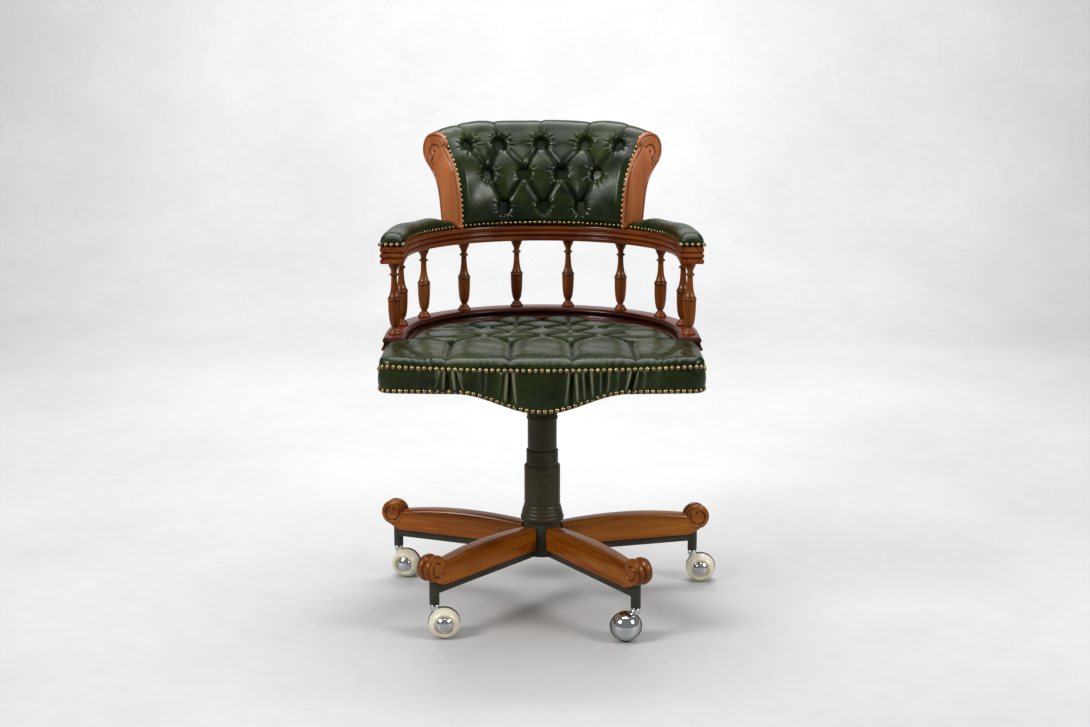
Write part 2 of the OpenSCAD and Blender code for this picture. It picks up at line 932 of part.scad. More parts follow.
module back_cushion() {
    front = [[-27, 0], [-27, 30], [-23, 62], [-15, 96], [-2, 124], [16, 148], [28, 172]];
    roll = [[38, 190], [54, 199], [70, 195], [81, 182], [85, 164], [81, 144], [70, 130],
            [60, 125]];
    color(leather_c)
        arc_sweep(-back_a, back_a)
            polygon(back_points(concat(front, roll,
                [[50.5, 124.5], [40, 134.5]], reversed(shifted(board_front, -0.3)))));
}

module back_panel() {
    rear = [[60, 112], [44, 97], [31, 73], [24, 33], [20, 0]];
    color(leather_c)
        arc_sweep(-back_a, back_a)
            polygon(back_points(concat(shifted(board_rear, 0.3), [[58, 122.5]], rear)));
}

// Outline of a carved board at the end of the back: a tapered foot under a scroll
module scroll_outline() {
    centre = [46, 147];
    inner_line = [[-29, 0], [-27, 43], [-16, 98], [-2, 126], [22, 154]];
    outer_line = [[72, 132], [52, 106], [38, 88], [30, 63], [25, 33], [20.5, 0]];
    polygon(back_points(concat(inner_line, [centre], outer_line)));
    translate(back_points([centre])[0])
        circle(r = scroll_r);
}

module scroll_right() {
    color(wood_c)
        radial_board(back_a + 0.1, scroll_t)
            scroll_outline();
}

module scroll_left() {
    mirror([1, 0, 0])
        scroll_right();
}

// ---- casters ----

// Places its children at a caster: local origin below the stem, local +X along the trail
module at_caster(i) {
    a = first_arm_a + 72*(i - 1);
    translate([stem_r*sin(a), -stem_r*cos(a), 0])
        rotate([0, 0, caster_turns[i - 1]])
            children();
}

// Turns a section of radius and distance from the ball's middle about the axle
module about_axle() {
    translate([trail, 0, ball_d/2])
        rotate([90, 0, 0])
            rotate_extrude()
                children();
}

module caster_hood(i) {
    r = ball_d/2 - 0.5;
    wall = 2.5;
    boss_d = socket_d - 1;
    boss_z = ball_d + 1;
    boss_top = socket_z - slip;
    stem_end = socket_z + socket_depth - 3;
    hood_low = 5;
    neck_h = 12;
    color(bright_c)
        at_caster(i)
            union() {
                intersection() {
                    about_axle()
                        difference() {
                            intersection() {
                                circle(r = r);
                                translate([0, -r])
                                    square([r, r - slip]);
                            }
                            intersection() {
                                circle(r = r - wall);
                                translate([0, -r])
                                    square([r, r + cut]);
                            }
                        }
                    translate([trail - r, -cut, hood_low])
                        cube([2*r, r + 2*cut, 2*r]);
                }
                translate([trail, r - wall/2, ball_d/2])
                    rotate([90, 0, 0])
                        cylinder(h = r - wall/2 + axle_reach - slip, d = axle_d);
                // neck from the hood up to the boss
                translate([-boss_d/2 + 2, slip, boss_z - neck_h])
                    cube([boss_d - 4, boss_d/2 - slip, neck_h + cut]);
                translate([0, 0, boss_z])
                    cylinder(h = boss_top - boss_z, d = boss_d);
                translate([0, 0, boss_top - cut])
                    cylinder(h = stem_end - boss_top + cut, d = stem_d - 2*fit);
            }
}

module caster_wheel(i) {
    r = ball_d/2;
    tread = 9;
    steps = 6;
    crown = [for (k = [0:steps])
        let (a = 90*k/steps)
        [r*cos(a), tread + (r - tread - 2)*sin(a)]];
    color(ivory_c)
        at_caster(i)
            about_axle()
                difference() {
                    polygon(concat([[0, 1], [r - 1, 1], [r, 2]], crown));
                    square([axle_d/2 + fit, axle_reach + 0.5]);
                }
}

star_base();
leg_cap(1);  // leg_cap_1
leg_cap(2);  // leg_cap_2
leg_cap(3);  // leg_cap_3
leg_cap(4);  // leg_cap_4
leg_cap(5);  // leg_cap_5
leg_cap_screws();
gas_cylinder();
thrust_bearing();
guide_bush();
column_lower_cover();
column_middle_cover();
column_upper_cover();
piston_rod();
cylinder_clip();
pressure_tube();
tilt_housing();
tilt_pin();
tension_spring();
spring_cup();
tension_knob();
height_lever();
tilt_plate();
plate_bolts();
seat_frame();
seat_cushion();
front_apron();
side_band();
lower_rail();
spindle(1);  // spindle_1
spindle(2);  // spindle_2
spindle(3);  // spindle_3
spindle(4);  // spindle_4
spindle(5);  // spindle_5
spindle(6);  // spindle_6
spindle(7);  // spindle_7
spindle(8);  // spindle_8
spindle(9);  // spindle_9
spindle(10);  // spindle_10
upper_rail_back();
upper_rail_left();
upper_rail_right();
arm_pad_left();
arm_pad_right();
back_frame();
back_cushion();
back_panel();
scroll_left();
scroll_right();
caster_hood(1);  // caster_hood_1
caster_hood(2);  // caster_hood_2
caster_hood(3);  // caster_hood_3
caster_hood(4);  // caster_hood_4
caster_hood(5);  // caster_hood_5
caster_wheel(1);  // caster_wheel_1
caster_wheel(2);  // caster_wheel_2
caster_wheel(3);  // caster_wheel_3
caster_wheel(4);  // caster_wheel_4
caster_wheel(5);  // caster_wheel_5
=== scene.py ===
"""Captain's swivel chair: leather, woodwork, nails, casters and the stage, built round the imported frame."""

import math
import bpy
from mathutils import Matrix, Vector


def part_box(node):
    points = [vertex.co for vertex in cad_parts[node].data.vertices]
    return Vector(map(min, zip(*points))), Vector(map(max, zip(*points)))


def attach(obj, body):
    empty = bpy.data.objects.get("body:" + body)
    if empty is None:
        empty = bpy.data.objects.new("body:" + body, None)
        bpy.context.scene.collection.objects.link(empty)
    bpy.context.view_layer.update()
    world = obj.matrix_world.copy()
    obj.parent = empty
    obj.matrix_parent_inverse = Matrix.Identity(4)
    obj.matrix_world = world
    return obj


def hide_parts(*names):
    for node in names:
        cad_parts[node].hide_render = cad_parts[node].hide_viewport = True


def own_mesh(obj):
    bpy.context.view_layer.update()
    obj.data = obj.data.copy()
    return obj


bl_info = {
    "name": "Captain's chair finishing",
    "version": (1, 0, 0),
    "blender": (4, 5, 0),
    "location": "View3D > Sidebar > Chair",
    "description": "Upholstery, turned and carved woodwork, dome nails, ball casters and a studio stage",
    "category": "Object",
}

import bmesh
import bpy
import numpy as np
from mathutils import Matrix, Vector

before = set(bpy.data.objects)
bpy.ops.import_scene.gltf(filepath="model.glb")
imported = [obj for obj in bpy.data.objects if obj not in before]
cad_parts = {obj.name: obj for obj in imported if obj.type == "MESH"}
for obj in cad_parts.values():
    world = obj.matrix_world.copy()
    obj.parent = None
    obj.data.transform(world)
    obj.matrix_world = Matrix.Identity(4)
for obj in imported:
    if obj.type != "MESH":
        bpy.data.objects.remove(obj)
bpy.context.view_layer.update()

# ---------------------------------------------------------------- places taken from the frame

RAIL_LOW, RAIL_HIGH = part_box("lower_rail")
TOP_LOW, TOP_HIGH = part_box("upper_rail_back")
FRAME_LOW, FRAME_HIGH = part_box("seat_frame")
_, BAND_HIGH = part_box("side_band")
APRON_LOW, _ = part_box("front_apron")
RAIL_W = 0.043
RAIL_OUT = RAIL_HIGH.x
RAIL_R = RAIL_OUT - RAIL_W / 2
RAIL_IN = RAIL_OUT - RAIL_W
ARC_Y = RAIL_HIGH.y - RAIL_OUT
ARM_Y = RAIL_LOW.y
SEAT_Z = FRAME_HIGH.z
FRAME_Z = FRAME_LOW.z
BAND_R = BAND_HIGH.x
FRONT_Y = APRON_LOW.y
TOP_Z = TOP_HIGH.z
JOINT_A = math.asin(TOP_HIGH.x / RAIL_OUT)
BACK_A = math.radians(40)
ARMS = 5
FIRST_ARM_A = math.radians(-39)
STEM_R = 0.305
CASTER_TURNS = [math.radians(a) for a in (4, 180, -6, 200, -14)]
BALL_R = 0.028
TRAIL = 0.017
PROFILE_ROUND = 0.5


# ---------------------------------------------------------------- mesh helpers

def new_object(name, mesh_maker, material, smooth=True):
    """A mesh object made from a bmesh, with outward faces."""
    bm = mesh_maker()
    bmesh.ops.recalc_face_normals(bm, faces=bm.faces)
    mesh = bpy.data.meshes.new(name)
    bm.to_mesh(mesh)
    bm.free()
    for polygon in mesh.polygons:
        polygon.use_smooth = smooth
    obj = bpy.data.objects.new(name, mesh)
    bpy.context.scene.collection.objects.link(obj)
    mesh.materials.append(material)
    return obj


def set_grain(obj, along):
    """Stores the direction of the wood or hide on the points, as (along, across, up) in metres."""
    attribute = obj.data.attributes.new("grain", "FLOAT_VECTOR", "POINT")
    flat = np.array([along(v.co) for v in obj.data.vertices], np.float32).ravel()
    attribute.data.foreach_set("vector", flat)


def set_value(obj, name, values):
    """Stores one number per point for a material to read."""
    attribute = obj.data.attributes.get(name) or obj.data.attributes.new(name, "FLOAT", "POINT")
    attribute.data.foreach_set("value", np.asarray(values, np.float32))


def grid(nu, nv, place):
    """A bmesh grid whose points are moved to place(u, v), with u and v from 0 to 1 as arrays."""
    bm = bmesh.new()
    bmesh.ops.create_grid(bm, x_segments=nu, y_segments=nv, size=0.5)
    uv = np.array([v.co[:2] for v in bm.verts]) + 0.5
    points = place(uv[:, 0], uv[:, 1])
    for vert, point in zip(bm.verts, points):
        vert.co = point
    return bm


def shell(nu, nv, front, rear):
    """A closed sheet from two grids that share their edges. Both take u and v from 0 to 1 as arrays;
    front gives points, painted shade for the pleats and a wear and painted highlight mask, and rear gives
    points."""
    bm = bmesh.new()
    bmesh.ops.create_grid(bm, x_segments=nu, y_segments=nv, size=0.5)
    for name in ("across", "along", "fold_shade", "crown"):
        bm.verts.layers.float.new(name)
    u_layer, v_layer, fold_shade_layer, crown_layer = bm.verts.layers.float.values()
    for vert in bm.verts:
        vert[u_layer], vert[v_layer] = vert.co.x + 0.5, vert.co.y + 0.5
    outer = bm.verts[:]
    out = bmesh.ops.extrude_face_region(bm, geom=bm.faces[:], use_keep_orig=True)
    inner = [g for g in out["geom"] if isinstance(g, bmesh.types.BMVert)]
    points, fold_shade, crown = front(*(np.array([vert[k] for vert in outer]) for k in (u_layer, v_layer)))
    behind = rear(*(np.array([vert[k] for vert in inner]) for k in (u_layer, v_layer)))
    for vert, point, folded, raised in zip(outer, points, fold_shade, crown):
        vert.co = point
        vert[fold_shade_layer], vert[crown_layer] = float(folded), float(raised)
    for vert, point in zip(inner, behind):
        vert.co = point
    return bm


def join(parts):
    """One bmesh from several."""
    whole = bmesh.new()
    for part in parts:
        mesh = bpy.data.meshes.new("joined")
        part.to_mesh(mesh)
        part.free()
        whole.from_mesh(mesh)
        bpy.data.meshes.remove(mesh)
    return whole


def spun(profile, steps, matrix=None):
    """A closed turning about Z from a profile of (radius, height) points."""
    bm = bmesh.new()
    verts = [bm.verts.new((r, 0, z)) for r, z in profile]
    edges = [bm.edges.new(pair) for pair in zip(verts, verts[1:])]
    bmesh.ops.spin(bm, geom=verts + edges, cent=(0, 0, 0), axis=(0, 0, 1), angle=math.tau,
                   steps=steps, use_merge=True)
    bmesh.ops.remove_doubles(bm, verts=bm.verts, dist=1e-6)
    if matrix is not None:
        bm.transform(matrix)
    return bm


def rounded(points, radius, steps=3, closed=False):
    """A line of (a, b) points with its corners rounded by up to a radius."""
    out = []
    count = len(points)
    for i, p in enumerate(points):
        if not closed and i in (0, count - 1):
            out.append(tuple(p))
            continue
        before = Vector(points[i - 1]) - Vector(p)
        after = Vector(points[(i + 1) % count]) - Vector(p)
        reach = min(radius, before.length * 0.45, after.length * 0.45)
        a = Vector(p) + before.normalized() * reach
        b = Vector(p) + after.normalized() * reach
        for k in range(steps + 1):
            t = k / steps
            q = a * (1 - t) ** 2 + Vector(p) * (2 * t * (1 - t)) + b * t * t
            out.append((q.x, q.y))
    return out


def curve_through(points, count):
    """A smooth line through (a, b) points, evenly spaced, as an array."""
    p = np.array(points, float)
    p = np.vstack([2 * p[0] - p[1], p, 2 * p[-1] - p[-2]])
    dense = []
    for i in range(1, len(p) - 2):
        t = np.linspace(0, 1, 40, endpoint=False)[:, None]
        a, b, c, d = p[i - 1], p[i], p[i + 1], p[i + 2]
        dense.append(0.5 * (2 * b + (c - a) * t + (2 * a - 5 * b + 4 * c - d) * t ** 2
                            + (3 * b - a - 3 * c + d) * t ** 3))
    dense = np.vstack(dense + [p[-2][None]])
    steps = np.hypot(*np.diff(dense, axis=0).T)
    length = np.concatenate([[0], np.cumsum(steps)])
    at = np.linspace(0, length[-1], count)
    return np.column_stack([np.interp(at, length, dense[:, k]) for k in (0, 1)]), length[-1]


def smoothstep(low, high, x):
    t = np.clip((x - low) / (high - low), 0, 1)
    return t * t * (3 - 2 * t)


def segment_distance(px, py, segment):
    """Distance from points to a pleat, and how far along the pleat the nearest place is."""
    ax, ay, bx, by = segment
    dx, dy = bx - ax, by - ay
    t = np.clip(((px - ax) * dx + (py - ay) * dy) / (dx * dx + dy * dy), 0, 1)
    return np.hypot(px - ax - t * dx, py - ay - t * dy), t


def buttoned(px, py, buttons, pleats, reach, dimple_r, crisp=0.55, soft=0.0028):
    """Deep-buttoned height from 0 in the pleats to 1 on the puffs, with the painted shade along the pleats,
    the share of a button's pull and of the gathers round it at each point."""
    total = np.zeros_like(px)
    fold_shade = np.zeros_like(px)
    for ax, ay, bx, by, start, end in pleats:
        d, t = segment_distance(px, py, (ax, ay, bx, by))
        strength = start + (end - start) * t
        total += np.exp(-d / soft) * strength
        # Painted shade: a dark line along each pleat.
        fold_shade = np.maximum(fold_shade, strength * np.exp(-(d / 0.0014) ** 2))
    d = -soft * np.log(np.clip(total, 1e-9, 1))
    rim = 0.0010
    d = (np.sqrt(d * d + rim * rim) - rim) / reach
    height = crisp * puffed(d * 3.2) + (1 - crisp) * puffed(d)
    pull = np.zeros_like(px)
    gather = np.zeros_like(px)
    for k, (bx, by) in enumerate(buttons):
        r = np.hypot(px - bx, py - by)
        angle = np.arctan2(py - by, px - bx)
        pull = np.maximum(pull, np.exp(-(r / dimple_r) ** 2.4))
        ripple = np.cos(angle * 12 + k) + 0.7 * np.cos(angle * 19 + 2 * k) + 0.5 * np.cos(angle * 7 + 3 * k)
        gather += ripple * np.exp(-((r - dimple_r * 1.5) / (dimple_r * 0.75)) ** 2)
    return height, fold_shade, pull, gather


def puffed(d):
    d = np.clip(d, 0, 1)
    return np.sqrt(1 - (1 - d) ** 2)


# ---------------------------------------------------------------- material helpers

class Nodes:
    """Short calls for building a shader."""

    def __init__(self, name):
        self.material = bpy.data.materials.new(name)
        self.material.use_nodes = True
        self.tree = self.material.node_tree
        self.shader = self.tree.nodes["Principled BSDF"]

    def add(self, kind, inputs=None, **settings):
        node = self.tree.nodes.new(kind)
        for key, value in settings.items():
            setattr(node, key, value)
        for key, value in (inputs or {}).items():
            self.put(node.inputs[key], value)
        return node

    def put(self, socket, value):
        if isinstance(value, bpy.types.NodeSocket):
            self.tree.links.new(value, socket)
        else:
            socket.default_value = value

    def set(self, **values):
        for key, value in values.items():
            self.put(self.shader.inputs[key.replace("_", " ")], value)

    def object_coords(self, scale=(1, 1, 1)):
        coords = self.add("ShaderNodeTexCoord")
        mapping = self.add("ShaderNodeMapping", {"Vector": coords.outputs["Object"], "Scale": scale})
        return mapping.outputs[0]

    def attribute(self, name, scale=None):
        node = self.add("ShaderNodeAttribute", attribute_name=name)
        if scale is None:
            return node.outputs["Fac"]
        mapping = self.add("ShaderNodeMapping", {"Vector": node.outputs["Vector"], "Scale": scale})
        return mapping.outputs[0]

    def noise(self, vector, scale, detail=4.0, rough=0.55, distortion=0.0):
        node = self.add("ShaderNodeTexNoise", {"Vector": vector, "Scale": scale, "Detail": detail,
                                               "Roughness": rough, "Distortion": distortion})
        return node.outputs["Fac"]

    def voronoi(self, vector, scale, feature="F1", randomness=1.0):
        node = self.add("ShaderNodeTexVoronoi", {"Vector": vector, "Scale": scale,
                                                 "Randomness": randomness}, feature=feature)
        return node.outputs["Distance"]

    def ramp(self, value, stops):
        node = self.add("ShaderNodeValToRGB", {"Fac": value})
        elements = node.color_ramp.elements
        while len(elements) < len(stops):
            elements.new(0.5)
        for element, (position, colour) in zip(elements, stops):
            element.position = position
            element.color = colour if len(colour) == 4 else (*colour, 1)
        return node.outputs["Color"]

    def span(self, value, low, high, to_low=0.0, to_high=1.0):
        node = self.add("ShaderNodeMapRange", {"Value": value, "From Min": low, "From Max": high,
                                               "To Min": to_low, "To Max": to_high})
        return node.outputs[0]

    def math(self, operation, a, b):
        node = self.add("ShaderNodeMath", operation=operation)
        self.put(node.inputs[0], a)
        self.put(node.inputs[1], b)
        return node.outputs[0]

    def mix(self, factor, a, b, blend="MIX"):
        node = self.add("ShaderNodeMix", data_type="RGBA", blend_type=blend)
        for socket, value in ((0, factor), (6, a), (7, b)):
            if isinstance(value, tuple) and len(value) == 3:
                value = (*value, 1)
            self.put(node.inputs[socket], value)
        return node.outputs[2]

    def bump(self, height, distance, strength=1.0, normal=None):
        inputs = {"Height": height, "Distance": distance, "Strength": strength}
        if normal is not None:
            inputs["Normal"] = normal
        node = self.add("ShaderNodeBump", inputs)
        return node.outputs[0]


def leather_material(settings):
    """Antiqued bottle-green hide: painted shade in the pleats and button hollows, olive where worn and as
    painted highlight on raised parts, a pale painted highlight on ridge tops and puff shoulders, fine pebbled
    grain.
    """
    n = Nodes("green leather")
    v = n.object_coords()
    cloud = n.noise(v, 14, 5, 0.6, 0.6)
    mottle = n.noise(v, 55, 5, 0.65)
    cells = n.voronoi(v, 620)
    creases = n.voronoi(n.object_coords((1, 1, 1)), 170, "DISTANCE_TO_EDGE")
    # The first mask is painted shade in the pleats and button hollows; the second mixes wear on raised parts
    # with painted highlight.
    fold_shade = n.attribute("fold_shade")
    crown = n.attribute("crown")
    deep = tuple(settings.leather_dark)
    light = tuple(settings.leather_light)
    body = n.mix(n.span(cloud, 0.38, 0.66), deep, light)
    speck = n.mix(n.span(mottle, 0.45, 0.75, 0.0, 0.55), body, (0.011, 0.022, 0.016))
    # Olive rub colour on raised parts: partly wear, partly painted highlight, and stronger on the apron as
    # painted light.
    rub_and_shine = n.mix(n.math("MULTIPLY", crown, n.span(mottle, 0.35, 0.7, 0.1, 0.5)), speck,
                   tuple(settings.leather_rub_and_sheen))
    # Painted highlight: pale colour where the wear and highlight mask goes above 1, on the apron's ridge tops
    # and the seat's puff shoulders.
    pale = n.mix(n.span(crown, 1.0, 2.0, 0.0, 0.8), rub_and_shine, (0.27, 0.27, 0.17))
    # Painted shade: near black in the pleats and button hollows.
    colour = n.mix(n.span(fold_shade, 0.05, 0.9, 0.0, 0.93), pale, (0.002, 0.0035, 0.002))
    n.set(Base_Color=colour, Specular_IOR_Level=0.36, Coat_Weight=0.10, Coat_Roughness=0.14)
    rough = n.math("ADD", n.span(mottle, 0.3, 0.7, 0.23, 0.36), n.span(fold_shade, 0, 1, 0.0, 0.35))
    n.set(Roughness=rough)
    grain = n.bump(cells, 0.00022, 0.55)
    lines = n.bump(n.span(creases, 0.0, 0.05), 0.00010, 0.25, grain)
    soft = n.bump(mottle, 0.0003, 0.25, lines)
    n.set(Normal=n.bump(cloud, 0.0015, 0.2, soft))
    return n.material


def wood_material(name, dark, mid, light, rough=0.22):
    """Stained and lacquered hardwood with long streaks, fine pores and a clear coat."""
    n = Nodes(name)
    flow = n.attribute("grain", (1, 1, 1))
    wobble = n.noise(flow, 9, 3, 0.5)
    long = n.attribute("grain", (3.2, 46, 46))
    streak = n.noise(long, 1.0, 6, 0.62, 0.9)
    pores = n.noise(n.attribute("grain", (26, 900, 900)), 1.0, 3, 0.6)
    patch = n.noise(n.attribute("grain", (5, 12, 12)), 1.0, 4, 0.6, 0.4)
    base = n.ramp(streak, [(0.18, dark), (0.42, mid), (0.78, light)])
    patched = n.mix(n.span(patch, 0.48, 0.78, 0.0, 0.45), base, dark)
    worn = n.mix(n.span(wobble, 0.5, 0.8, 0.0, 0.25), patched, light)
    fine = n.mix(n.span(pores, 0.5, 0.72, 0.0, 0.35), worn, tuple(c * 0.35 for c in dark))
    groove = n.attribute("groove")
    n.set(Base_Color=n.mix(n.span(groove, 0.0, 1.0, 0.0, 0.88), fine, tuple(c * 0.12 for c in dark)))
    n.set(Roughness=n.span(streak, 0.3, 0.7, rough, rough + 0.14),
          Coat_Weight=0.28, Coat_Roughness=0.12, Specular_IOR_Level=0.28)
    n.set(Normal=n.bump(pores, 0.00012, 0.3, n.bump(streak, 0.0005, 0.18)))
    return n.material


def cad_wood_material(name, dark, mid):
    """Raw or painted board on pieces that are seldom seen."""
    n = Nodes(name)
    v = n.object_coords((6, 60, 60))
    streak = n.noise(v, 1.0, 5, 0.6, 0.5)
    n.set(Base_Color=n.ramp(streak, [(0.3, dark), (0.7, mid)]),
          Roughness=n.span(streak, 0.3, 0.7, 0.55, 0.75))
    n.set(Normal=n.bump(streak, 0.0005, 0.3))
    return n.material


def metal_material(name, colour, rough, scratches=0.5, metallic=1.0, tarnish=None):
    """Metal with hairline scratches and, where asked for, tarnish in patches."""
    n = Nodes(name)
    v = n.object_coords()
    broad = n.noise(v, 60, 4, 0.6)
    hair = n.noise(n.object_coords((900, 60, 900)), 1.0, 3, 0.6)
    tint = n.mix(n.span(broad, 0.4, 0.75, 0.0, 0.45), colour, tarnish or tuple(c * 0.8 for c in colour))
    n.set(Base_Color=tint, Metallic=metallic,
          Roughness=n.span(broad, 0.3, 0.7, rough, rough + 0.12 * scratches))
    n.set(Normal=n.bump(hair, 0.00005, 0.2 * scratches))
    return n.material


def paint_material(name, colour, rough):
    """Sprayed paint: slight orange peel, scuffs and dust in the colour."""
    n = Nodes(name)
    v = n.object_coords()
    peel = n.noise(v, 420, 2, 0.5)
    scuff = n.noise(v, 38, 6, 0.7)
    n.set(Base_Color=n.mix(n.span(scuff, 0.5, 0.8, 0.0, 0.5), colour,
                           tuple(min(1, c * 2.1 + 0.01) for c in colour)),
          Roughness=n.span(scuff, 0.3, 0.7, rough, rough + 0.2), Specular_IOR_Level=0.5)
    n.set(Normal=n.bump(peel, 0.0001, 0.3))
    return n.material


def plastic_material(name, colour, aged, rough, coat=0.0, grime=0.5):
    """Moulded plastic: fine texture, yellowing in patches and rubbed-in dirt."""
    n = Nodes(name)
    v = n.object_coords()
    patch = n.noise(v, 45, 5, 0.6)
    fine = n.noise(v, 900, 2, 0.5)
    dirt = n.noise(v, 130, 6, 0.75)
    base = n.mix(n.span(patch, 0.35, 0.7), colour, aged)
    n.set(Base_Color=n.mix(n.span(dirt, 0.55, 0.8, 0.0, grime), base, tuple(c * 0.35 for c in aged)),
          Roughness=n.span(patch, 0.3, 0.7, rough, rough + 0.15), Coat_Weight=coat, Coat_Roughness=0.15,
          Specular_IOR_Level=0.5)
    n.set(Normal=n.bump(fine, 0.00006, 0.35))
    return n.material


MATERIALS = {}


def material(name):
    """A finish by name, made the first time that it is asked for."""
    if name not in MATERIALS:
        leather = bpy.context.scene.chair_leather
        wood = bpy.context.scene.chair_wood
        makers = {
            "leather": lambda: leather_material(leather),
            "wood": lambda: wood_material("polished wood", tuple(wood.dark), tuple(wood.middle),
                                          tuple(wood.light)),
            "turned wood": lambda: wood_material("turned wood", (0.042, 0.008, 0.001),
                                                 (0.175, 0.045, 0.006),
                                                 (0.36, 0.125, 0.026), 0.2),
            "ear wood": lambda: wood_material("scroll wood", (0.24, 0.065, 0.015), (0.40, 0.130, 0.040),
                                              (0.56, 0.22, 0.080), 0.26),
            "cap wood": lambda: wood_material("base wood", (0.070, 0.010, 0.001), (0.320, 0.086, 0.0030),
                                              (0.50, 0.200, 0.018), 0.2),
            "red wood": lambda: wood_material("dark red wood", (0.045, 0.005, 0.003), (0.130, 0.018, 0.008),
                                              (0.24, 0.048, 0.018), 0.2),
            "board": lambda: cad_wood_material("plain board", (0.30, 0.19, 0.10), (0.46, 0.32, 0.18)),
            "brass": lambda: metal_material("antique brass", (0.50, 0.36, 0.17), 0.24, 0.8,
                                            tarnish=(0.11, 0.065, 0.028)),
            "chrome": lambda: metal_material("chrome", (0.82, 0.83, 0.85), 0.05, 0.3),
            "zinc": lambda: metal_material("zinc plate", (0.55, 0.56, 0.57), 0.32, 1.0),
            "steel paint": lambda: paint_material("painted steel", (0.046, 0.043, 0.028), 0.42),
            "cover": lambda: plastic_material("column plastic", (0.042, 0.034, 0.013),
                                              (0.060, 0.049, 0.021),
                                              0.34, grime=0.3),
            "ivory": lambda: plastic_material("ivory plastic", (0.86, 0.82, 0.69), (0.72, 0.65, 0.45), 0.26,
                                              coat=0.4, grime=0.35),
        }
        MATERIALS[name] = makers[name]()
    return MATERIALS[name]


# ---------------------------------------------------------------- settings

class ChairLeather(bpy.types.PropertyGroup):
    """Sizes and colours of the upholstery."""
    leather_dark: bpy.props.FloatVectorProperty(
        name="Dark leather", description="Colour of the leather's dark patches", subtype="COLOR",
        default=(0.0040, 0.0092, 0.0010), min=0, max=1)
    leather_light: bpy.props.FloatVectorProperty(
        name="Light leather", description="Colour of the leather's light patches", subtype="COLOR",
        default=(0.026, 0.041, 0.0045), min=0, max=1)
    # The rub colour also serves as painted highlight on raised parts and on the apron.
    leather_rub_and_sheen: bpy.props.FloatVectorProperty(
        name="Rubbed leather", description="Colour where the leather is rubbed", subtype="COLOR",
        default=(0.042, 0.056, 0.018), min=0, max=1)
    back_puff: bpy.props.FloatProperty(
        name="Back puff", description="How far the back's puffs stand above its pleats", unit="LENGTH",
        default=0.0105, min=0.004, max=0.03)
    seat_puff: bpy.props.FloatProperty(
        name="Seat puff", description="How far the seat's puffs stand above its pleats", unit="LENGTH",
        default=0.019, min=0.004, max=0.03)
    button_d: bpy.props.FloatProperty(
        name="Button", description="Diameter of the covered buttons", unit="LENGTH",
        default=0.0125, min=0.008, max=0.025)


class ChairWood(bpy.types.PropertyGroup):
    """Colours of the polished wood."""
    dark: bpy.props.FloatVectorProperty(
        name="Dark streak", description="Colour of the wood's dark streaks", subtype="COLOR",
        default=(0.045, 0.0065, 0.0010), min=0, max=1)
    middle: bpy.props.FloatVectorProperty(
        name="Body", description="Colour of most of the wood", subtype="COLOR",
        default=(0.190, 0.036, 0.0028), min=0, max=1)
    light: bpy.props.FloatVectorProperty(
        name="Light streak", description="Colour of the wood's light streaks", subtype="COLOR",
        default=(0.380, 0.120, 0.018), min=0, max=1)


class ChairNails(bpy.types.PropertyGroup):
    """Sizes of the dome nails."""
    pitch: bpy.props.FloatProperty(
        name="Pitch", description="Distance from one nail to the next", unit="LENGTH",
        default=0.0106, min=0.006, max=0.03)
    head: bpy.props.FloatProperty(
        name="Head", description="Diameter of a nail's head", unit="LENGTH",
        default=0.0084, min=0.004, max=0.015)


class ChairStage(bpy.types.PropertyGroup):
    """Place and lens of the camera."""
    camera_distance: bpy.props.FloatProperty(
        name="Distance", description="Distance of the camera in front of the column", unit="LENGTH",
        default=3.1235, min=1, max=8)
    camera_height: bpy.props.FloatProperty(
        name="Height", description="Height of the camera above the floor", unit="LENGTH",
        default=1.0944, min=0.2, max=3)
    camera_pitch: bpy.props.FloatProperty(
        name="Pitch", description="How far the camera looks down", unit="ROTATION",
        default=math.radians(11.633), min=0, max=1.2)
    lens: bpy.props.FloatProperty(
        name="Lens", description="Focal length of the camera on a 36 mm sensor, in millimetres",
        default=56.15, min=20, max=200)


# ---------------------------------------------------------------- back

# The back's section, as distances from the rail's centreline and heights above the upper rail:
# up the front, over the roll and down to the neck behind it
BACK_LINE = [(-0.0255, 0.000), (-0.0255, 0.030), (-0.022, 0.062), (-0.014, 0.096), (-0.001, 0.124),
             (0.017, 0.150), (0.030, 0.175), (0.042, 0.191), (0.056, 0.197), (0.070, 0.192),
             (0.079, 0.180), (0.083, 0.163), (0.079, 0.146), (0.070, 0.133), (0.060, 0.126)]
BACK_ROWS = [(0.036, (-17.5, 0.5, 17.5)), (0.101, (-24, -7.9, 7.9, 24)),
             (0.157, (-30, -16.8, -0.5, 16.5, 30.5))]


def back_frame_line(count):
    """Points and outward normals along the back's section."""
    line, length = curve_through(BACK_LINE, count)
    tangent = np.gradient(line, axis=0)
    tangent /= np.hypot(*tangent.T)[:, None]
    normal = np.column_stack([-tangent[:, 1], tangent[:, 0]])
    return line, normal, length


def back_row_place(height):
    """Distance along the back's front line at a height above the rail."""
    line, _, length = back_frame_line(400)
    front = line[:, 1].argmax()
    return float(np.interp(height, line[:front, 1], np.linspace(0, length, 400)[:front]))


def round_the_arc(angle, radius, z):
    """Points at angles from the middle of the back, at radii from the rails' centre."""
    return np.column_stack([radius * np.sin(angle), ARC_Y + radius * np.cos(angle), z])


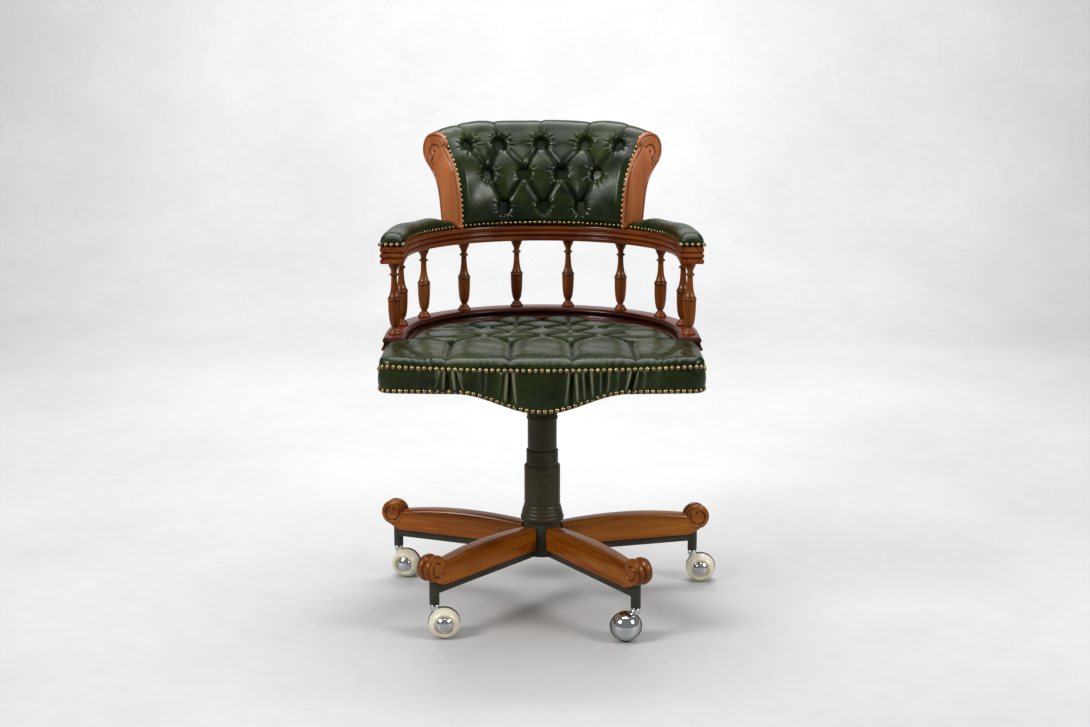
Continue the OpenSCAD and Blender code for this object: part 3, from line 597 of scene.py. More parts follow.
def back_pattern():
    """Buttons and pleats of the back, on its flattened leather: (across, along) in metres."""
    rows = [(back_row_place(h), angles) for h, angles in BACK_ROWS]
    flat_r = RAIL_R
    buttons = [[(math.radians(a) * flat_r, at) for a in angles] for at, angles in rows]
    low, mid, high = buttons
    pleats = []
    for pair, near in ((low, mid), (mid, high)):
        for bx, by in pair:
            closest = sorted(near, key=lambda q: abs(q[0] - bx))[:2]
            pleats += [(bx, by, qx, qy, 1.0, 1.0) for qx, qy in closest]
    _, _, length = back_frame_line(60)
    for bx, by in high:
        pleats.append((bx, by, bx * 1.08, length * 0.985, 1.0, 0.55))
    for bx, by in low:
        pleats.append((bx, by, bx * 1.03, 0.0, 0.75, 0.25))
    return sum(buttons, []), pleats, BACK_A * flat_r


def back_section(along, count=500):
    """Places and outward normals at shares of the back's section."""
    line, normal, length = back_frame_line(count)
    at = along * (count - 1)
    place = np.column_stack([np.interp(at, np.arange(count), line[:, k]) for k in (0, 1)])
    out = np.column_stack([np.interp(at, np.arange(count), normal[:, k]) for k in (0, 1)])
    return place, out, length


def back_surface(leather, angle, along):
    """Point, painted shade and wear and highlight mask on the back's leather at angles and shares of its
    section.
    """
    base, out, length = back_section(along)
    buttons, pleats, side = back_pattern()
    px, py = angle * RAIL_R, along * length
    height, fold_shade, pull, gather = buttoned(px, py, buttons, pleats, 0.038, 0.0112, 0.38, 0.0021)
    edge = smoothstep(0, 0.018, side - np.abs(px))
    edge = edge * smoothstep(0.0, 0.014, py) * smoothstep(0, 0.02, length - py)
    wave = 0.0007 * np.sin(px * 60 + 2 * np.sin(py * 40)) + 0.0004 * np.sin(py * 90 + 4 * np.sin(px * 30))
    calm = 1 - 0.62 * smoothstep(0.165, 0.195, py)
    lift = leather.back_puff * (height - 0.35) * calm - 0.0175 * pull + 0.0007 * gather + wave * (1 - pull)
    lift = lift * edge
    radius = RAIL_R + base[:, 0] + out[:, 0] * lift
    z = TOP_Z + 0.0004 + base[:, 1] + out[:, 1] * lift
    z = z - back_fall(angle, base[:, 1])
    # Painted shade along the pleats and in the hollows round the buttons.
    dark = np.maximum(fold_shade, smoothstep(0.25, 0.85, pull))
    # The back's wear and highlight mask is held low, which paints its leather darker as painted shade.
    return round_the_arc(angle, radius, z), dark * edge, 0.35 * height * edge * (1 - pull)


def back_fall(angle, height):
    """How far the roll drops towards the scroll boards."""
    share = np.abs(angle) / BACK_A
    return smoothstep(0.13, 0.19, height) * (0.006 * share ** 4 + 0.0095 * smoothstep(0.70, 1.0, share))


def back_lining(angle, along):
    """The hidden inner side of the back's leather."""
    base, out, _ = back_section(along)
    depth = 0.010 * np.sin(np.clip(along * 1.0, 0.02, 0.98) * math.pi) ** 0.35
    height = TOP_Z + 0.0006 + base[:, 1] - out[:, 1] * depth - back_fall(angle, base[:, 1])
    return round_the_arc(angle, RAIL_R + base[:, 0] - out[:, 0] * depth, height)


class CHAIR_OT_back(bpy.types.Operator):
    """Build the buttoned back, its buttons and its outside cover"""
    bl_idname = "chair.back"
    bl_label = "Back"

    def execute(self, context):
        leather = context.scene.chair_leather
        cushion = new_object("back_leather", lambda: shell(
            240, 240, lambda u, v: back_surface(leather, (u * 2 - 1) * BACK_A, v),
            lambda u, v: back_lining((u * 2 - 1) * BACK_A, v)), material("leather"))
        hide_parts("back_cushion")
        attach(cushion, "seat")

        outside = new_object("back_outside_cover", outside_cover, material("leather"))
        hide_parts("back_panel")
        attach(outside, "seat")

        _, _, length = back_frame_line(60)
        buttons, _, _ = back_pattern()
        across = np.array([b[0] for b in buttons]) / RAIL_R
        along = np.array([b[1] for b in buttons]) / length
        points, _, _ = back_surface(leather, across, along)
        ahead, _, _ = back_surface(leather, across, along + 0.012)
        aside, _, _ = back_surface(leather, across + 0.012, along)
        places = []
        for p, a, s in zip(points, ahead, aside):
            up = Vector(a - p).cross(Vector(s - p)).normalized()
            inward = Vector((-p[0], ARC_Y - p[1], 0.06))
            if up.dot(inward) < 0:
                up = -up
            places.append((Vector(p), (up + inward.normalized() * 0.8).normalized()))
        make_buttons("back_buttons", places, leather.button_d)
        return {"FINISHED"}


def outside_cover():
    """The plain leather on the back's outside, from the rail to the roll."""
    rear = [(0.0215, 0.000), (0.0235, 0.020), (0.028, 0.046), (0.035, 0.073), (0.048, 0.098),
            (0.061, 0.117), (0.064, 0.125), (0.056, 0.123)]
    line, _ = curve_through(rear, 60)

    def place(u, v, behind=0.0):
        angle = (u * 2 - 1) * BACK_A
        at = v * 59
        dr = np.interp(at, np.arange(60), line[:, 0])
        dz = np.interp(at, np.arange(60), line[:, 1])
        sag = 0.0022 * np.sin(u * math.pi) * np.sin(v * math.pi)
        ripple = 0.0005 * np.sin(angle * 37 + 5 * v) + 0.0004 * np.sin(angle * 90 + 9 * v) * (1 - v)
        return round_the_arc(angle, RAIL_R + dr + sag + ripple - behind, TOP_Z + 0.0004 + dz)

    return shell(140, 60, lambda u, v: (place(u, v), np.zeros_like(u), np.full_like(u, 0.3)),
                 lambda u, v: place(u, v, 0.0016))


def make_buttons(name, places, diameter):
    """Leather-covered buttons, each a low dome turned to face outwards."""
    r = diameter / 2
    profile = [(0, r * 0.42), (r * 0.35, r * 0.40), (r * 0.7, r * 0.27), (r * 0.92, r * 0.08),
               (r, -r * 0.12), (r * 0.9, -r * 0.4), (0, -r * 0.5)]

    def make():
        parts = []
        for point, up in places:
            turn = up.to_track_quat("Z", "Y").to_matrix().to_4x4()
            parts.append(spun(profile, 20, Matrix.Translation(point) @ turn))
        return join(parts)

    obj = new_object(name, make, material("leather"))
    # The buttons get no painted shade, and a high wear and highlight mask that paints them lighter as painted
    # highlight in their dark hollows.
    set_value(obj, "fold_shade", np.zeros(len(obj.data.vertices)))
    set_value(obj, "crown", np.full(len(obj.data.vertices), 0.9))
    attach(obj, "seat")
    return obj


# ---------------------------------------------------------------- seat

SEAT_ROWS = [(-0.112, (-0.163, -0.055, 0.053, 0.160)), (-0.056, (-0.108, 0.0, 0.107)),
             (-0.001, (-0.161, -0.054, 0.054, 0.161)), (0.053, (-0.106, 0.0, 0.106)),
             (0.106, (-0.148, -0.052, 0.052, 0.148)), (0.157, (-0.096, 0.0, 0.096))]
BOW = 0.010
CORNER_R = 0.024
APRON_HALF = 0.150


def nail_rise(x):
    """How far the front's upper row of nails stands above the frame's edge: it rises to the corners."""
    return -0.0008 + 0.0062 * np.clip(np.abs(x) / BAND_R, 0, 1) ** 2


def front_line(x):
    """How far forward the leather's front edge is, at places across the seat."""
    half = BAND_R
    bow = BOW * (x / half) ** 2
    edge = np.clip(np.abs(x) - (half - CORNER_R), 0, CORNER_R)
    corner = CORNER_R - np.sqrt(np.maximum(CORNER_R ** 2 - edge ** 2, 0))
    return FRONT_Y + bow + corner


def seat_pattern():
    """Buttons and pleats of the seat in plan."""
    rows = [[(x, y) for x in xs] for y, xs in SEAT_ROWS]
    pleats = []
    for row, behind in zip(rows, rows[1:]):
        for x, y in row:
            near = [q for q in behind if abs(q[0] - x) < 0.075]
            pleats += [(x, y, q[0], q[1], 1.0, 1.0) for q in near]
    for x, y in rows[0]:
        pleats.append((x, y, x * 1.01, FRONT_Y - 0.02, 1.0, 1.0))
    for row in rows[1:]:
        for x, y in (row[0], row[-1]):
            if abs(x) > 0.13 or y > 0:
                reach = math.sqrt(max(RAIL_IN ** 2 - max(y - ARC_Y, 0) ** 2, 0.01))
                pleats.append((x, y, math.copysign(reach, x), y + 0.10 * max(y, 0), 0.9, 0.6))
    for x, y in rows[-1]:
        pleats.append((x, y, x * 1.18, 0.235, 0.9, 0.7))
    for side in (-1, 1):
        x, y = rows[0][0 if side < 0 else -1]
        pleats.append((x, y, side * 0.262, y + 0.030, 0.9, 0.4))
        pleats.append((side * 0.262, -0.150, side * 0.190, FRONT_Y, 0.12, 0.5))
        pleats.append((side * 0.240, -0.175, side * 0.204, FRONT_Y, 0.08, 0.4))
    return sum(rows, []), pleats


def seat_edge(x, y):
    """Distance inwards from the edge of the seat's leather, in plan."""
    front = y - front_line(x)
    behind_arm = y > ARM_Y
    radius = np.where(y > ARC_Y, np.hypot(x, y - ARC_Y), np.abs(x))
    side = np.where(behind_arm, RAIL_IN + 0.004 - radius, BAND_R - np.abs(x))
    return np.minimum(front, side)


def seat_height(leather, x, y):
    """Height of the seat's leather with its folds, over its plan, with the painted shade of its pleats and
    button hollows and its wear and highlight mask.
    """
    buttons, pleats = seat_pattern()
    height, fold_shade, pull, gather = buttoned(x, y, buttons, pleats, 0.034, 0.0088, 0.40, 0.0021)
    front = np.clip(y - front_line(x), 0, None)
    edge = np.clip(seat_edge(x, y), 0, None)
    roll = puffed(edge / 0.028)
    tuft = smoothstep(0.0, 0.045, edge)
    fall = smoothstep(-0.22, 0.16, y)
    nailed = (nail_rise(x) + 0.0025) * smoothstep(0.03, 0.0, edge) * (y < ARM_Y)
    base = nailed + roll * (0.0185 - 0.0145 * fall) - 0.002
    soft = 0.0006 * np.sin(x * 60 + 3 * np.sin(y * 35)) * tuft
    gathers = np.sin(x * 410 + 3 * np.sin(x * 61)) * np.exp(-front / 0.016) * smoothstep(0.0, 0.006, front)
    gathers *= 0.0015 * (0.4 + 0.6 * np.sin(x * 29 + 1) ** 2)
    behind = smoothstep(-0.16, -0.08, y)
    puff = leather.seat_puff * (0.48 + 0.60 * behind)
    z = SEAT_Z + base + puff * (height - 0.42) * (0.35 + 0.65 * tuft) * roll
    z = z - (0.0085 + 0.0035 * behind) * pull + 0.0003 * gather * tuft + soft + gathers
    # Painted shade along the pleats and in the hollows round the buttons.
    dark = np.maximum(fold_shade, smoothstep(0.25, 0.85, pull))
    # Painted highlight: a light line along each puff's shoulder beside its pleats, as grazing light would
    # give.
    shoulder = np.exp(-((height - 0.50) / 0.10) ** 2) * tuft * (1 - pull)
    return z, dark * smoothstep(-0.002, 0.01, front), height * roll * (1 - pull) + 0.62 * shoulder


class CHAIR_OT_seat(bpy.types.Operator):
    """Build the buttoned seat pad with its buttons"""
    bl_idname = "chair.seat"
    bl_label = "Seat pad"

    def execute(self, context):
        leather = context.scene.chair_leather

        def plan(u, v):
            """Spreads a square grid over the seat's plan, to its bowed front and round back."""
            back = ARC_Y + RAIL_IN + 0.004
            y = FRONT_Y + (back - FRONT_Y) * v
            arc = np.sqrt(np.clip((RAIL_IN + 0.004) ** 2 - np.clip(y - ARC_Y, 0, None) ** 2, 1e-8, None))
            wide = smoothstep(ARM_Y - 0.0035, ARM_Y - 0.0005, y)
            x = (u * 2 - 1) * (BAND_R * (1 - wide) + np.minimum(arc, RAIL_IN + 0.004) * wide)
            y = y + (front_line(x) - FRONT_Y) * np.clip(1 - (y - FRONT_Y) / 0.12, 0, 1)
            return x, y

        def top(u, v):
            x, y = plan(u, v)
            z, fold_shade, crown = seat_height(leather, x, y)
            return np.column_stack([x, y, z]), fold_shade, crown

        def under(u, v):
            x, y = plan(u, v)
            return np.column_stack([x * 0.992, y * 0.992, np.full_like(x, SEAT_Z - 0.012)])

        pad = new_object("seat_leather", lambda: shell(280, 260, top, under), material("leather"))
        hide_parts("seat_cushion")
        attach(pad, "seat")

        buttons, _ = seat_pattern()
        xy = np.array(buttons)
        z, _, _ = seat_height(leather, xy[:, 0], xy[:, 1])
        places = [(Vector((x, y, h)), Vector((0, 0, 1))) for (x, y), h in zip(buttons, z)]
        make_buttons("seat_buttons", places, leather.button_d)
        return {"FINISHED"}


# ---------------------------------------------------------------- apron and side band



def apron_fall(x):
    """How far the apron's lower edge drops below the frame."""
    drop = FRAME_Z - APRON_LOW.z
    return np.where(np.abs(x) < APRON_HALF,
                    drop * (1 + np.cos(math.pi * np.clip(x / APRON_HALF, -1, 1))) / 2, 0)


def band_point(s):
    """Plan of the leather band from the middle of the front round the right side to the back:
    distance along it gives x, y and the outward direction."""
    half = BAND_R
    front_run = half - CORNER_R
    corner_run = CORNER_R * math.pi / 2
    corner_y = FRONT_Y + BOW + CORNER_R
    side_run = ARC_Y - corner_y
    arc_run = half * math.pi / 2
    s = np.asarray(s, float)
    x = np.empty_like(s)
    y = np.empty_like(s)
    nx = np.empty_like(s)
    ny = np.empty_like(s)
    a = s <= front_run
    x[a] = s[a]
    y[a] = FRONT_Y + BOW * (s[a] / half) ** 2
    slope = 2 * BOW * s[a] / half ** 2
    nx[a], ny[a] = slope, -1
    b = (s > front_run) & (s <= front_run + corner_run)
    angle = (s[b] - front_run) / CORNER_R
    x[b] = front_run + CORNER_R * np.sin(angle)
    y[b] = corner_y - CORNER_R * np.cos(angle) - BOW * (1 - (front_run / half) ** 2) * np.cos(angle)
    nx[b], ny[b] = np.sin(angle), -np.cos(angle)
    c = (s > front_run + corner_run) & (s <= front_run + corner_run + side_run)
    x[c] = half
    y[c] = corner_y + s[c] - front_run - corner_run
    nx[c], ny[c] = 1, 0
    d = s > front_run + corner_run + side_run
    angle = (s[d] - front_run - corner_run - side_run) / half
    x[d] = half * np.cos(angle)
    y[d] = ARC_Y + half * np.sin(angle)
    nx[d], ny[d] = np.cos(angle), np.sin(angle)
    return x, y, nx, ny, front_run + corner_run + side_run + arc_run


# Ridges of the leather under the front buttons: place across at the top and at the lower edge, height
# and half width. Pleats run down between neighbouring ridges.
APRON_RIDGES = [(-0.172, -0.186, 1.8, 6), (-0.166, -0.170, 2.4, 4), (-0.153, -0.148, 3.0, 5),
                (-0.146, -0.132, 2.2, 5), (-0.110, -0.100, 1.4, 6), (-0.094, -0.098, 1.6, 4),
                (-0.066, -0.078, 1.5, 6), (-0.059, -0.064, 3.2, 5), (-0.050, -0.043, 2.8, 6),
                (0.047, 0.040, 2.4, 5), (0.058, 0.062, 3.0, 4), (0.070, 0.074, 2.2, 4),
                (0.084, 0.088, 2.6, 5), (0.101, 0.100, 2.0, 4), (0.116, 0.112, 2.2, 5),
                (0.133, 0.126, 1.6, 4), (0.153, 0.142, 2.8, 4), (0.166, 0.156, 2.2, 4),
                (0.178, 0.172, 1.8, 5), (0.196, 0.200, 1.3, 6), (-0.205, -0.214, 1.0, 7),
                (0.226, 0.232, 0.9, 7), (-0.232, -0.236, 0.8, 8)]
APRON_PLEATS = [(-0.1635, -0.160), (-0.0545, -0.056), (0.0525, 0.050), (0.160, 0.149), (-0.1485, -0.139),
                (0.0775, 0.081), (-0.0625, -0.071), (0.108, 0.106)]


def apron_folds(x, up):
    """Ridges and hollows of the leather over the frame's front, with painted shade in its pleats and a mask
    of wear and painted highlight along its ridge tops.
    """
    lift = np.zeros_like(x)
    fold_shade = np.zeros_like(x)
    rub_and_shine = np.zeros_like(x)
    for start, end, tall, wide in APRON_RIDGES:
        middle = end + (start - end) * up
        width = wide * 0.001 * (0.65 + 0.5 * (1 - up))
        lift += tall * 0.0022 * np.exp(-((x - middle) / width) ** 2) * (0.55 + 0.45 * up)
        # Painted highlight: a thin light line along the top of each tall ridge.
        thin = (0.0008 + 0.0007 * tall) * (0.6 + 0.6 * up)
        shine = np.exp(-((x - middle) / thin) ** 2) * min(1, tall / 2.8) ** 1.5
        rub_and_shine = np.maximum(rub_and_shine, shine * smoothstep(0.02, 0.3, up) * smoothstep(1.0, 0.8, up))
    for k, (start, end) in enumerate(APRON_PLEATS):
        middle = end + (start - end) * up
        deep = np.exp(-((x - middle) / 0.0022) ** 2) * (0.45 + 0.55 * up if k < 4 else 0.6 * up)
        lift -= 0.0044 * deep
        # Painted shade in each pleat.
        fold_shade = np.maximum(fold_shade, 0.9 * deep)
    lift += 0.0006 * np.sin(x * 70 + 1.7 * np.sin(x * 23) + 2.2 * up)
    return lift, fold_shade, rub_and_shine


class CHAIR_OT_band(bpy.types.Operator):
    """Build the front apron with its folds and the plain band round the sides"""
    bl_idname = "chair.band"
    bl_label = "Apron and band"

    def execute(self, context):
        total = band_point(np.array([0.0]))[4]
        cut = BAND_R + 0.010

        def surface(s, v, behind=0.0):
            """Band at signed distances along it and shares of its height from its lower edge."""
            x, y, nx, ny, _ = band_point(np.abs(s))
            length = np.hypot(nx, ny)
            low = FRAME_Z - apron_fall(s)
            front = np.clip((BAND_R + 0.01 - np.abs(s)) / 0.02, 0, 1)
            high = SEAT_Z + (nail_rise(s) + 0.0025) * front
            z = low + (high - low) * v
            lift, fold_shade, rub_and_shine = apron_folds(s, v)
            edges = smoothstep(-0.02, 0.12, v) * smoothstep(1.02, 0.86, v)
            bulge = 0.0030 * np.sin(np.clip(v, 0, 1) * math.pi)
            ripple = 0.0006 * np.sin(s * 43 + 2 * v) * (1 - front)
            out = (lift * front * edges + bulge + ripple - 0.0012) / length - behind
            points = np.column_stack([np.copysign(1, s) * (x + nx * out), y + ny * out, z])
            # Painted shade in the apron's pleats; the wear and highlight mask starts high (0.75) to paint the
            # apron and band lighter as painted light, with painted highlight on the ridge tops.
            return points, fold_shade * front, 0.75 + 1.25 * rub_and_shine * front

        def piece(name, start, end, columns, rows, node):
            obj = new_object(name, lambda: shell(
                columns, rows, lambda u, v: surface(start + (end - start) * u, v),
                lambda u, v: surface(start + (end - start) * u, v, 0.0022)[0]), material("leather"))
            if node:
                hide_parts(node)
            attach(obj, "seat")

        piece("apron_leather", -cut, cut, 620, 44, "front_apron")
        piece("band_leather_right", cut, total, 220, 14, "side_band")
        piece("band_leather_left", -total, -cut, 220, 14, None)
        return {"FINISHED"}


# ---------------------------------------------------------------- nails

def nail_profile(head):
    r = head / 2
    return [(0, r * 0.62), (r * 0.45, r * 0.54), (r * 0.8, r * 0.3), (r, 0.0), (0, -0.0003)]


def make_nails(name, places, head):
    """Dome nails, each set on a point and facing outwards."""
    profile = nail_profile(head)

    def make():
        parts = []
        for k, (point, up) in enumerate(places):
            turn = Vector(up).to_track_quat("Z", "Y").to_matrix().to_4x4()
            tip = Matrix.Rotation(0.12 * math.sin(k * 2.4), 4, "X")
            tip = tip @ Matrix.Rotation(0.12 * math.cos(k * 3.1), 4, "Y")
            parts.append(spun(profile, 10, Matrix.Translation(Vector(point)) @ turn @ tip))
        return join(parts)

    obj = new_object(name, make, material("brass"))
    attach(obj, "seat")
    return obj


def spaced(line, pitch):
    """Points at an even pitch along a dense line of points."""
    line = np.asarray(line)
    steps = np.linalg.norm(np.diff(line, axis=0), axis=1)
    length = np.concatenate([[0], np.cumsum(steps)])
    count = max(2, round(length[-1] / pitch))
    at = np.linspace(0, length[-1], count + 1)
    return np.column_stack([np.interp(at, length, line[:, k]) for k in range(3)]), at / length[-1]


class CHAIR_OT_nails(bpy.types.Operator):
    """Set the rows of dome nails on the seat, the arms and the back"""
    bl_idname = "chair.nails"
    bl_label = "Nails"

    def execute(self, context):
        nails = context.scene.chair_nails
        _, _, _, _, total = band_point(np.array([0.0]))
        s = np.linspace(-total, total, 4000)
        x, y, nx, ny, _ = band_point(np.abs(s))
        sign = np.where(s < 0, -1.0, 1.0)
        length = np.hypot(nx, ny)
        nx, ny = sign * nx / length, ny / length
        x = sign * x
        places = []
        front = np.clip((BAND_R + 0.01 - np.abs(s)) / 0.02, 0, 1)
        for height in (SEAT_Z - 0.0035 * (1 - front) + nail_rise(s) * front,
                       FRAME_Z - apron_fall(s) + 0.0045):
            line = np.column_stack([x + nx * 0.0004, y + ny * 0.0004, height])
            points, share = spaced(line, nails.pitch)
            at = np.interp(share, np.linspace(0, 1, len(s)), np.arange(len(s)))
            for p, k in zip(points, at):
                k = int(round(k))
                places.append((p, (nx[k], ny[k], 0)))
        make_nails("seat_nails", places, nails.head)

        places = []
        for side in (-1, 1):
            angle = np.linspace(JOINT_A + 0.02, math.pi / 2, 200)
            r = RAIL_IN + 0.0002
            inner = round_the_arc(angle, np.full_like(angle, r), np.full_like(angle, TOP_Z + 0.0035))
            run = np.linspace(0, ARC_Y - ARM_Y, 60)[1:]
            straight = np.column_stack([np.full_like(run, r), ARC_Y - run,
                                        np.full_like(run, TOP_Z + 0.0035)])
            across = np.linspace(RAIL_IN, RAIL_OUT, 30)[1:]
            end = np.column_stack([across, np.full_like(across, ARM_Y + 0.0005),
                                   np.full_like(across, TOP_Z + 0.0035)])
            outer_run = straight[::-1] + np.array([RAIL_W, 0, 0])
            outer_arc = round_the_arc(angle[::-1], np.full_like(angle, RAIL_OUT),
                                      np.full_like(angle, TOP_Z + 0.0035))
            for line, facing in ((np.vstack([inner, straight]), "in"), (end, "front"),
                                 (np.vstack([outer_run, outer_arc]), "out")):
                points, _ = spaced(line, nails.pitch * 0.92)
                for p in points:
                    radial = Vector((p[0], max(p[1], ARC_Y) - ARC_Y, 0)).normalized()
                    up = {"in": -radial, "out": radial, "front": Vector((0, -1, 0))}[facing]
                    places.append(((side * p[0], p[1], p[2]), (side * up.x, up.y, up.z)))
        make_nails("arm_nails", places, nails.head * 0.86)

        line, _, _ = back_frame_line(300)
        front = slice(4, 175)
        places = []
        for side in (-1, 1):
            angle = np.full(300, side * (BACK_A - 0.010))[front]
            edge = round_the_arc(angle, RAIL_R + line[front, 0] - 0.0008, TOP_Z + line[front, 1])
            points, _ = spaced(edge, nails.pitch * 0.92)
            for p in points:
                radial = Vector((p[0], p[1] - ARC_Y, 0)).normalized()
                places.append((p, -radial + Vector((0, 0, 0.15))))
        angle = np.linspace(-BACK_A, BACK_A, 300)
        _, _, length = back_frame_line(60)
        foot, _, _ = back_surface(context.scene.chair_leather, angle, np.full_like(angle, 0.0052 / length))
        rear = round_the_arc(angle, np.full_like(angle, RAIL_OUT + 0.0005),
                             np.full_like(angle, TOP_Z + 0.005))
        for line, facing in ((foot, -1), (rear, 1)):
            points, _ = spaced(line, nails.pitch * 0.92)
            for p in points:
                radial = Vector((p[0], p[1] - ARC_Y, 0)).normalized()
                places.append((p, radial * facing))
        make_nails("back_nails", places, nails.head * 0.86)
        return {"FINISHED"}


# ---------------------------------------------------------------- arm pads

class CHAIR_OT_arm_pads(bpy.types.Operator):
    """Build the two padded leather arm covers"""
    bl_idname = "chair.arm_pads"
    bl_label = "Arm pads"

    def execute(self, context):
        _, pad_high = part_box("arm_pad_right")
        tall = pad_high.z - TOP_Z
        end_a = JOINT_A + 0.016
        run = ARC_Y - ARM_Y
        arc = (math.pi / 2 - end_a) * RAIL_R
        total = arc + run
        half = RAIL_W / 2 + 0.0012

        def place(u, v):
            """u goes round the pad's section from its inner to its outer lower edge, v forwards."""
            s = v * total
            swell = 1 + 0.05 * np.sin(s * 55)
            nose = np.clip((total - s) / 0.022, 0, 1)
            tail = np.clip(s / 0.05, 0, 1)
            cap = np.sqrt(1 - (1 - nose) ** 2) * (0.62 + 0.38 * smoothstep(0, 1, tail))
            turn = (u - 0.5) * math.pi
            across = half * np.sign(np.sin(turn)) * np.abs(np.sin(turn)) ** 0.72
            across = across * (0.90 + 0.10 * np.sqrt(1 - (1 - nose) ** 2))
            up = tall * swell * np.abs(np.cos(turn)) ** 0.82 * (0.08 + 0.92 * cap)
            crease = 0.0006 * np.sin(s * 210 + 9 * u) * np.exp(-((np.abs(u - 0.5) - 0.38) / 0.08) ** 2)
            radius = RAIL_R + across
            angle = end_a + np.clip(s, 0, arc) / RAIL_R
            x = radius * np.sin(angle)
            y = ARC_Y + radius * np.cos(angle) - np.clip(s - arc, 0, None)
            return np.column_stack([x, y, TOP_Z + 0.0004 + up + crease])

        for side, name in ((1, "right"), (-1, "left")):
            def make():
                bm = grid(56, 190, place)
                bmesh.ops.holes_fill(bm, edges=[e for e in bm.edges if e.is_boundary], sides=0)
                if side < 0:
                    bmesh.ops.scale(bm, vec=(-1, 1, 1), verts=bm.verts)
                return bm

            pad = new_object(f"arm_leather_{name}", make, material("leather"))
            count = len(pad.data.vertices)
            set_value(pad, "fold_shade", np.zeros(count))
            # The wear and highlight mask rises towards the top of each pad, lighter there: partly wear,
            # partly painted highlight.
            set_value(pad, "crown",
                      np.array([min(1, max(0, (v.co.z - TOP_Z) / tall)) * 0.5 for v in pad.data.vertices]))
            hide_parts(f"arm_pad_{name}")
            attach(pad, "seat")
        return {"FINISHED"}


# ---------------------------------------------------------------- rails and spindles

def rail_profile(low, high, upper):
    """Half of a rail's moulded section, from its underside to its top, as depths into it and heights."""
    h, g = high - low, 0.0024
    if upper:
        half = [(0.0045, 0), (0.0012, 0.0006), (0, 0.0026), (0, 0.0078), (g, 0.0092), (g, 0.0112),
                (0.0002, 0.0126), (-0.0006, 0.0150), (0.0002, 0.0178), (g, 0.0192), (g, 0.0210),
                (0.0004, 0.0224), (0, 0.0262), (0.0008, h - 0.0012), (0.004, h)]
    else:
        half = [(0.002, 0), (-0.0004, 0.0012), (-0.0006, 0.0032), (-0.0002, 0.0056), (g, 0.0068),
                (g, 0.0080), (g + 0.0008, 0.0094), (g + 0.0012, 0.0120), (g + 0.0008, 0.0148), (g, 0.0168),
                (g - 0.0010, 0.0176), (g - 0.0010, h - 0.0052), (g - 0.0002, h - 0.0036),
                (g + 0.0016, h - 0.0010), (g + 0.0040, h)]
    return [(d, z + low) for d, z in rounded(half, 0.0012, 2)]


def rail_mesh(half, start, end, run, steps):
    """Sweeps a rail's section round the arc and along an arm, with the moulding returned across its end."""
    bm = bmesh.new()
    s, c = math.sin(start), math.cos(start)
    section = [(RAIL_IN + d, z) for d, z in half] + [(RAIL_OUT - d, z) for d, z in reversed(half)]
    verts = [bm.verts.new((r * s, ARC_Y + r * c, z)) for r, z in section]
    edges = [bm.edges.new((a, b)) for a, b in zip(verts, verts[1:] + verts[:1])]
    bm.faces.new(verts)
    out = bmesh.ops.spin(bm, geom=edges, cent=(0, ARC_Y, 0), axis=(0, 0, -1), angle=end - start,
                         steps=steps, use_merge=False)
    last = [g for g in out["geom_last"] if isinstance(g, bmesh.types.BMEdge)]
    ring = sorted({v for e in last for v in e.verts}, key=lambda v: (v.co.z, v.co.xy.length))
    if run:
        out = bmesh.ops.extrude_edge_only(bm, edges=last)
        ring = [g for g in out["geom"] if isinstance(g, bmesh.types.BMVert)]
        middle = (RAIL_IN + RAIL_OUT) / 2
        for v in ring:
            v.co.y += -run + (v.co.x - RAIL_IN if v.co.x < middle else RAIL_OUT - v.co.x)
        inner = sorted((v for v in ring if v.co.x < middle), key=lambda v: v.co.z)
        outer = sorted((v for v in ring if v.co.x > middle), key=lambda v: v.co.z)
        for k in range(len(inner) - 1):
            bm.faces.new((inner[k], outer[k], outer[k + 1], inner[k + 1]))
    bmesh.ops.holes_fill(bm, edges=[e for e in bm.edges if e.is_boundary], sides=0)
    return bm


def arc_grain(co):
    """Grain that follows a rail: along its arc and arms, across, and up."""
    if co.y > ARC_Y:
        angle = math.atan2(co.x, co.y - ARC_Y)
        return (angle * RAIL_R, math.hypot(co.x, co.y - ARC_Y) - RAIL_R, co.z)
    side = math.copysign(1, co.x)
    return (side * (math.pi / 2 * RAIL_R + ARC_Y - co.y), abs(co.x) - RAIL_R, co.z)


def groove_depth(obj):
    """Marks the hollows of a moulding, which the wood's colour darkens."""
    values = []
    for v in obj.data.vertices:
        r = math.hypot(v.co.x, v.co.y - ARC_Y) if v.co.y > ARC_Y else abs(v.co.x)
        depth = min(r - RAIL_IN, RAIL_OUT - r)
        if v.co.y < ARM_Y + 0.01:
            depth = min(depth, v.co.y - ARM_Y)
        values.append(min(1, max(0, (depth - 0.0008) / 0.0022)) if depth < 0.006 else 0)
    set_value(obj, "groove", values)


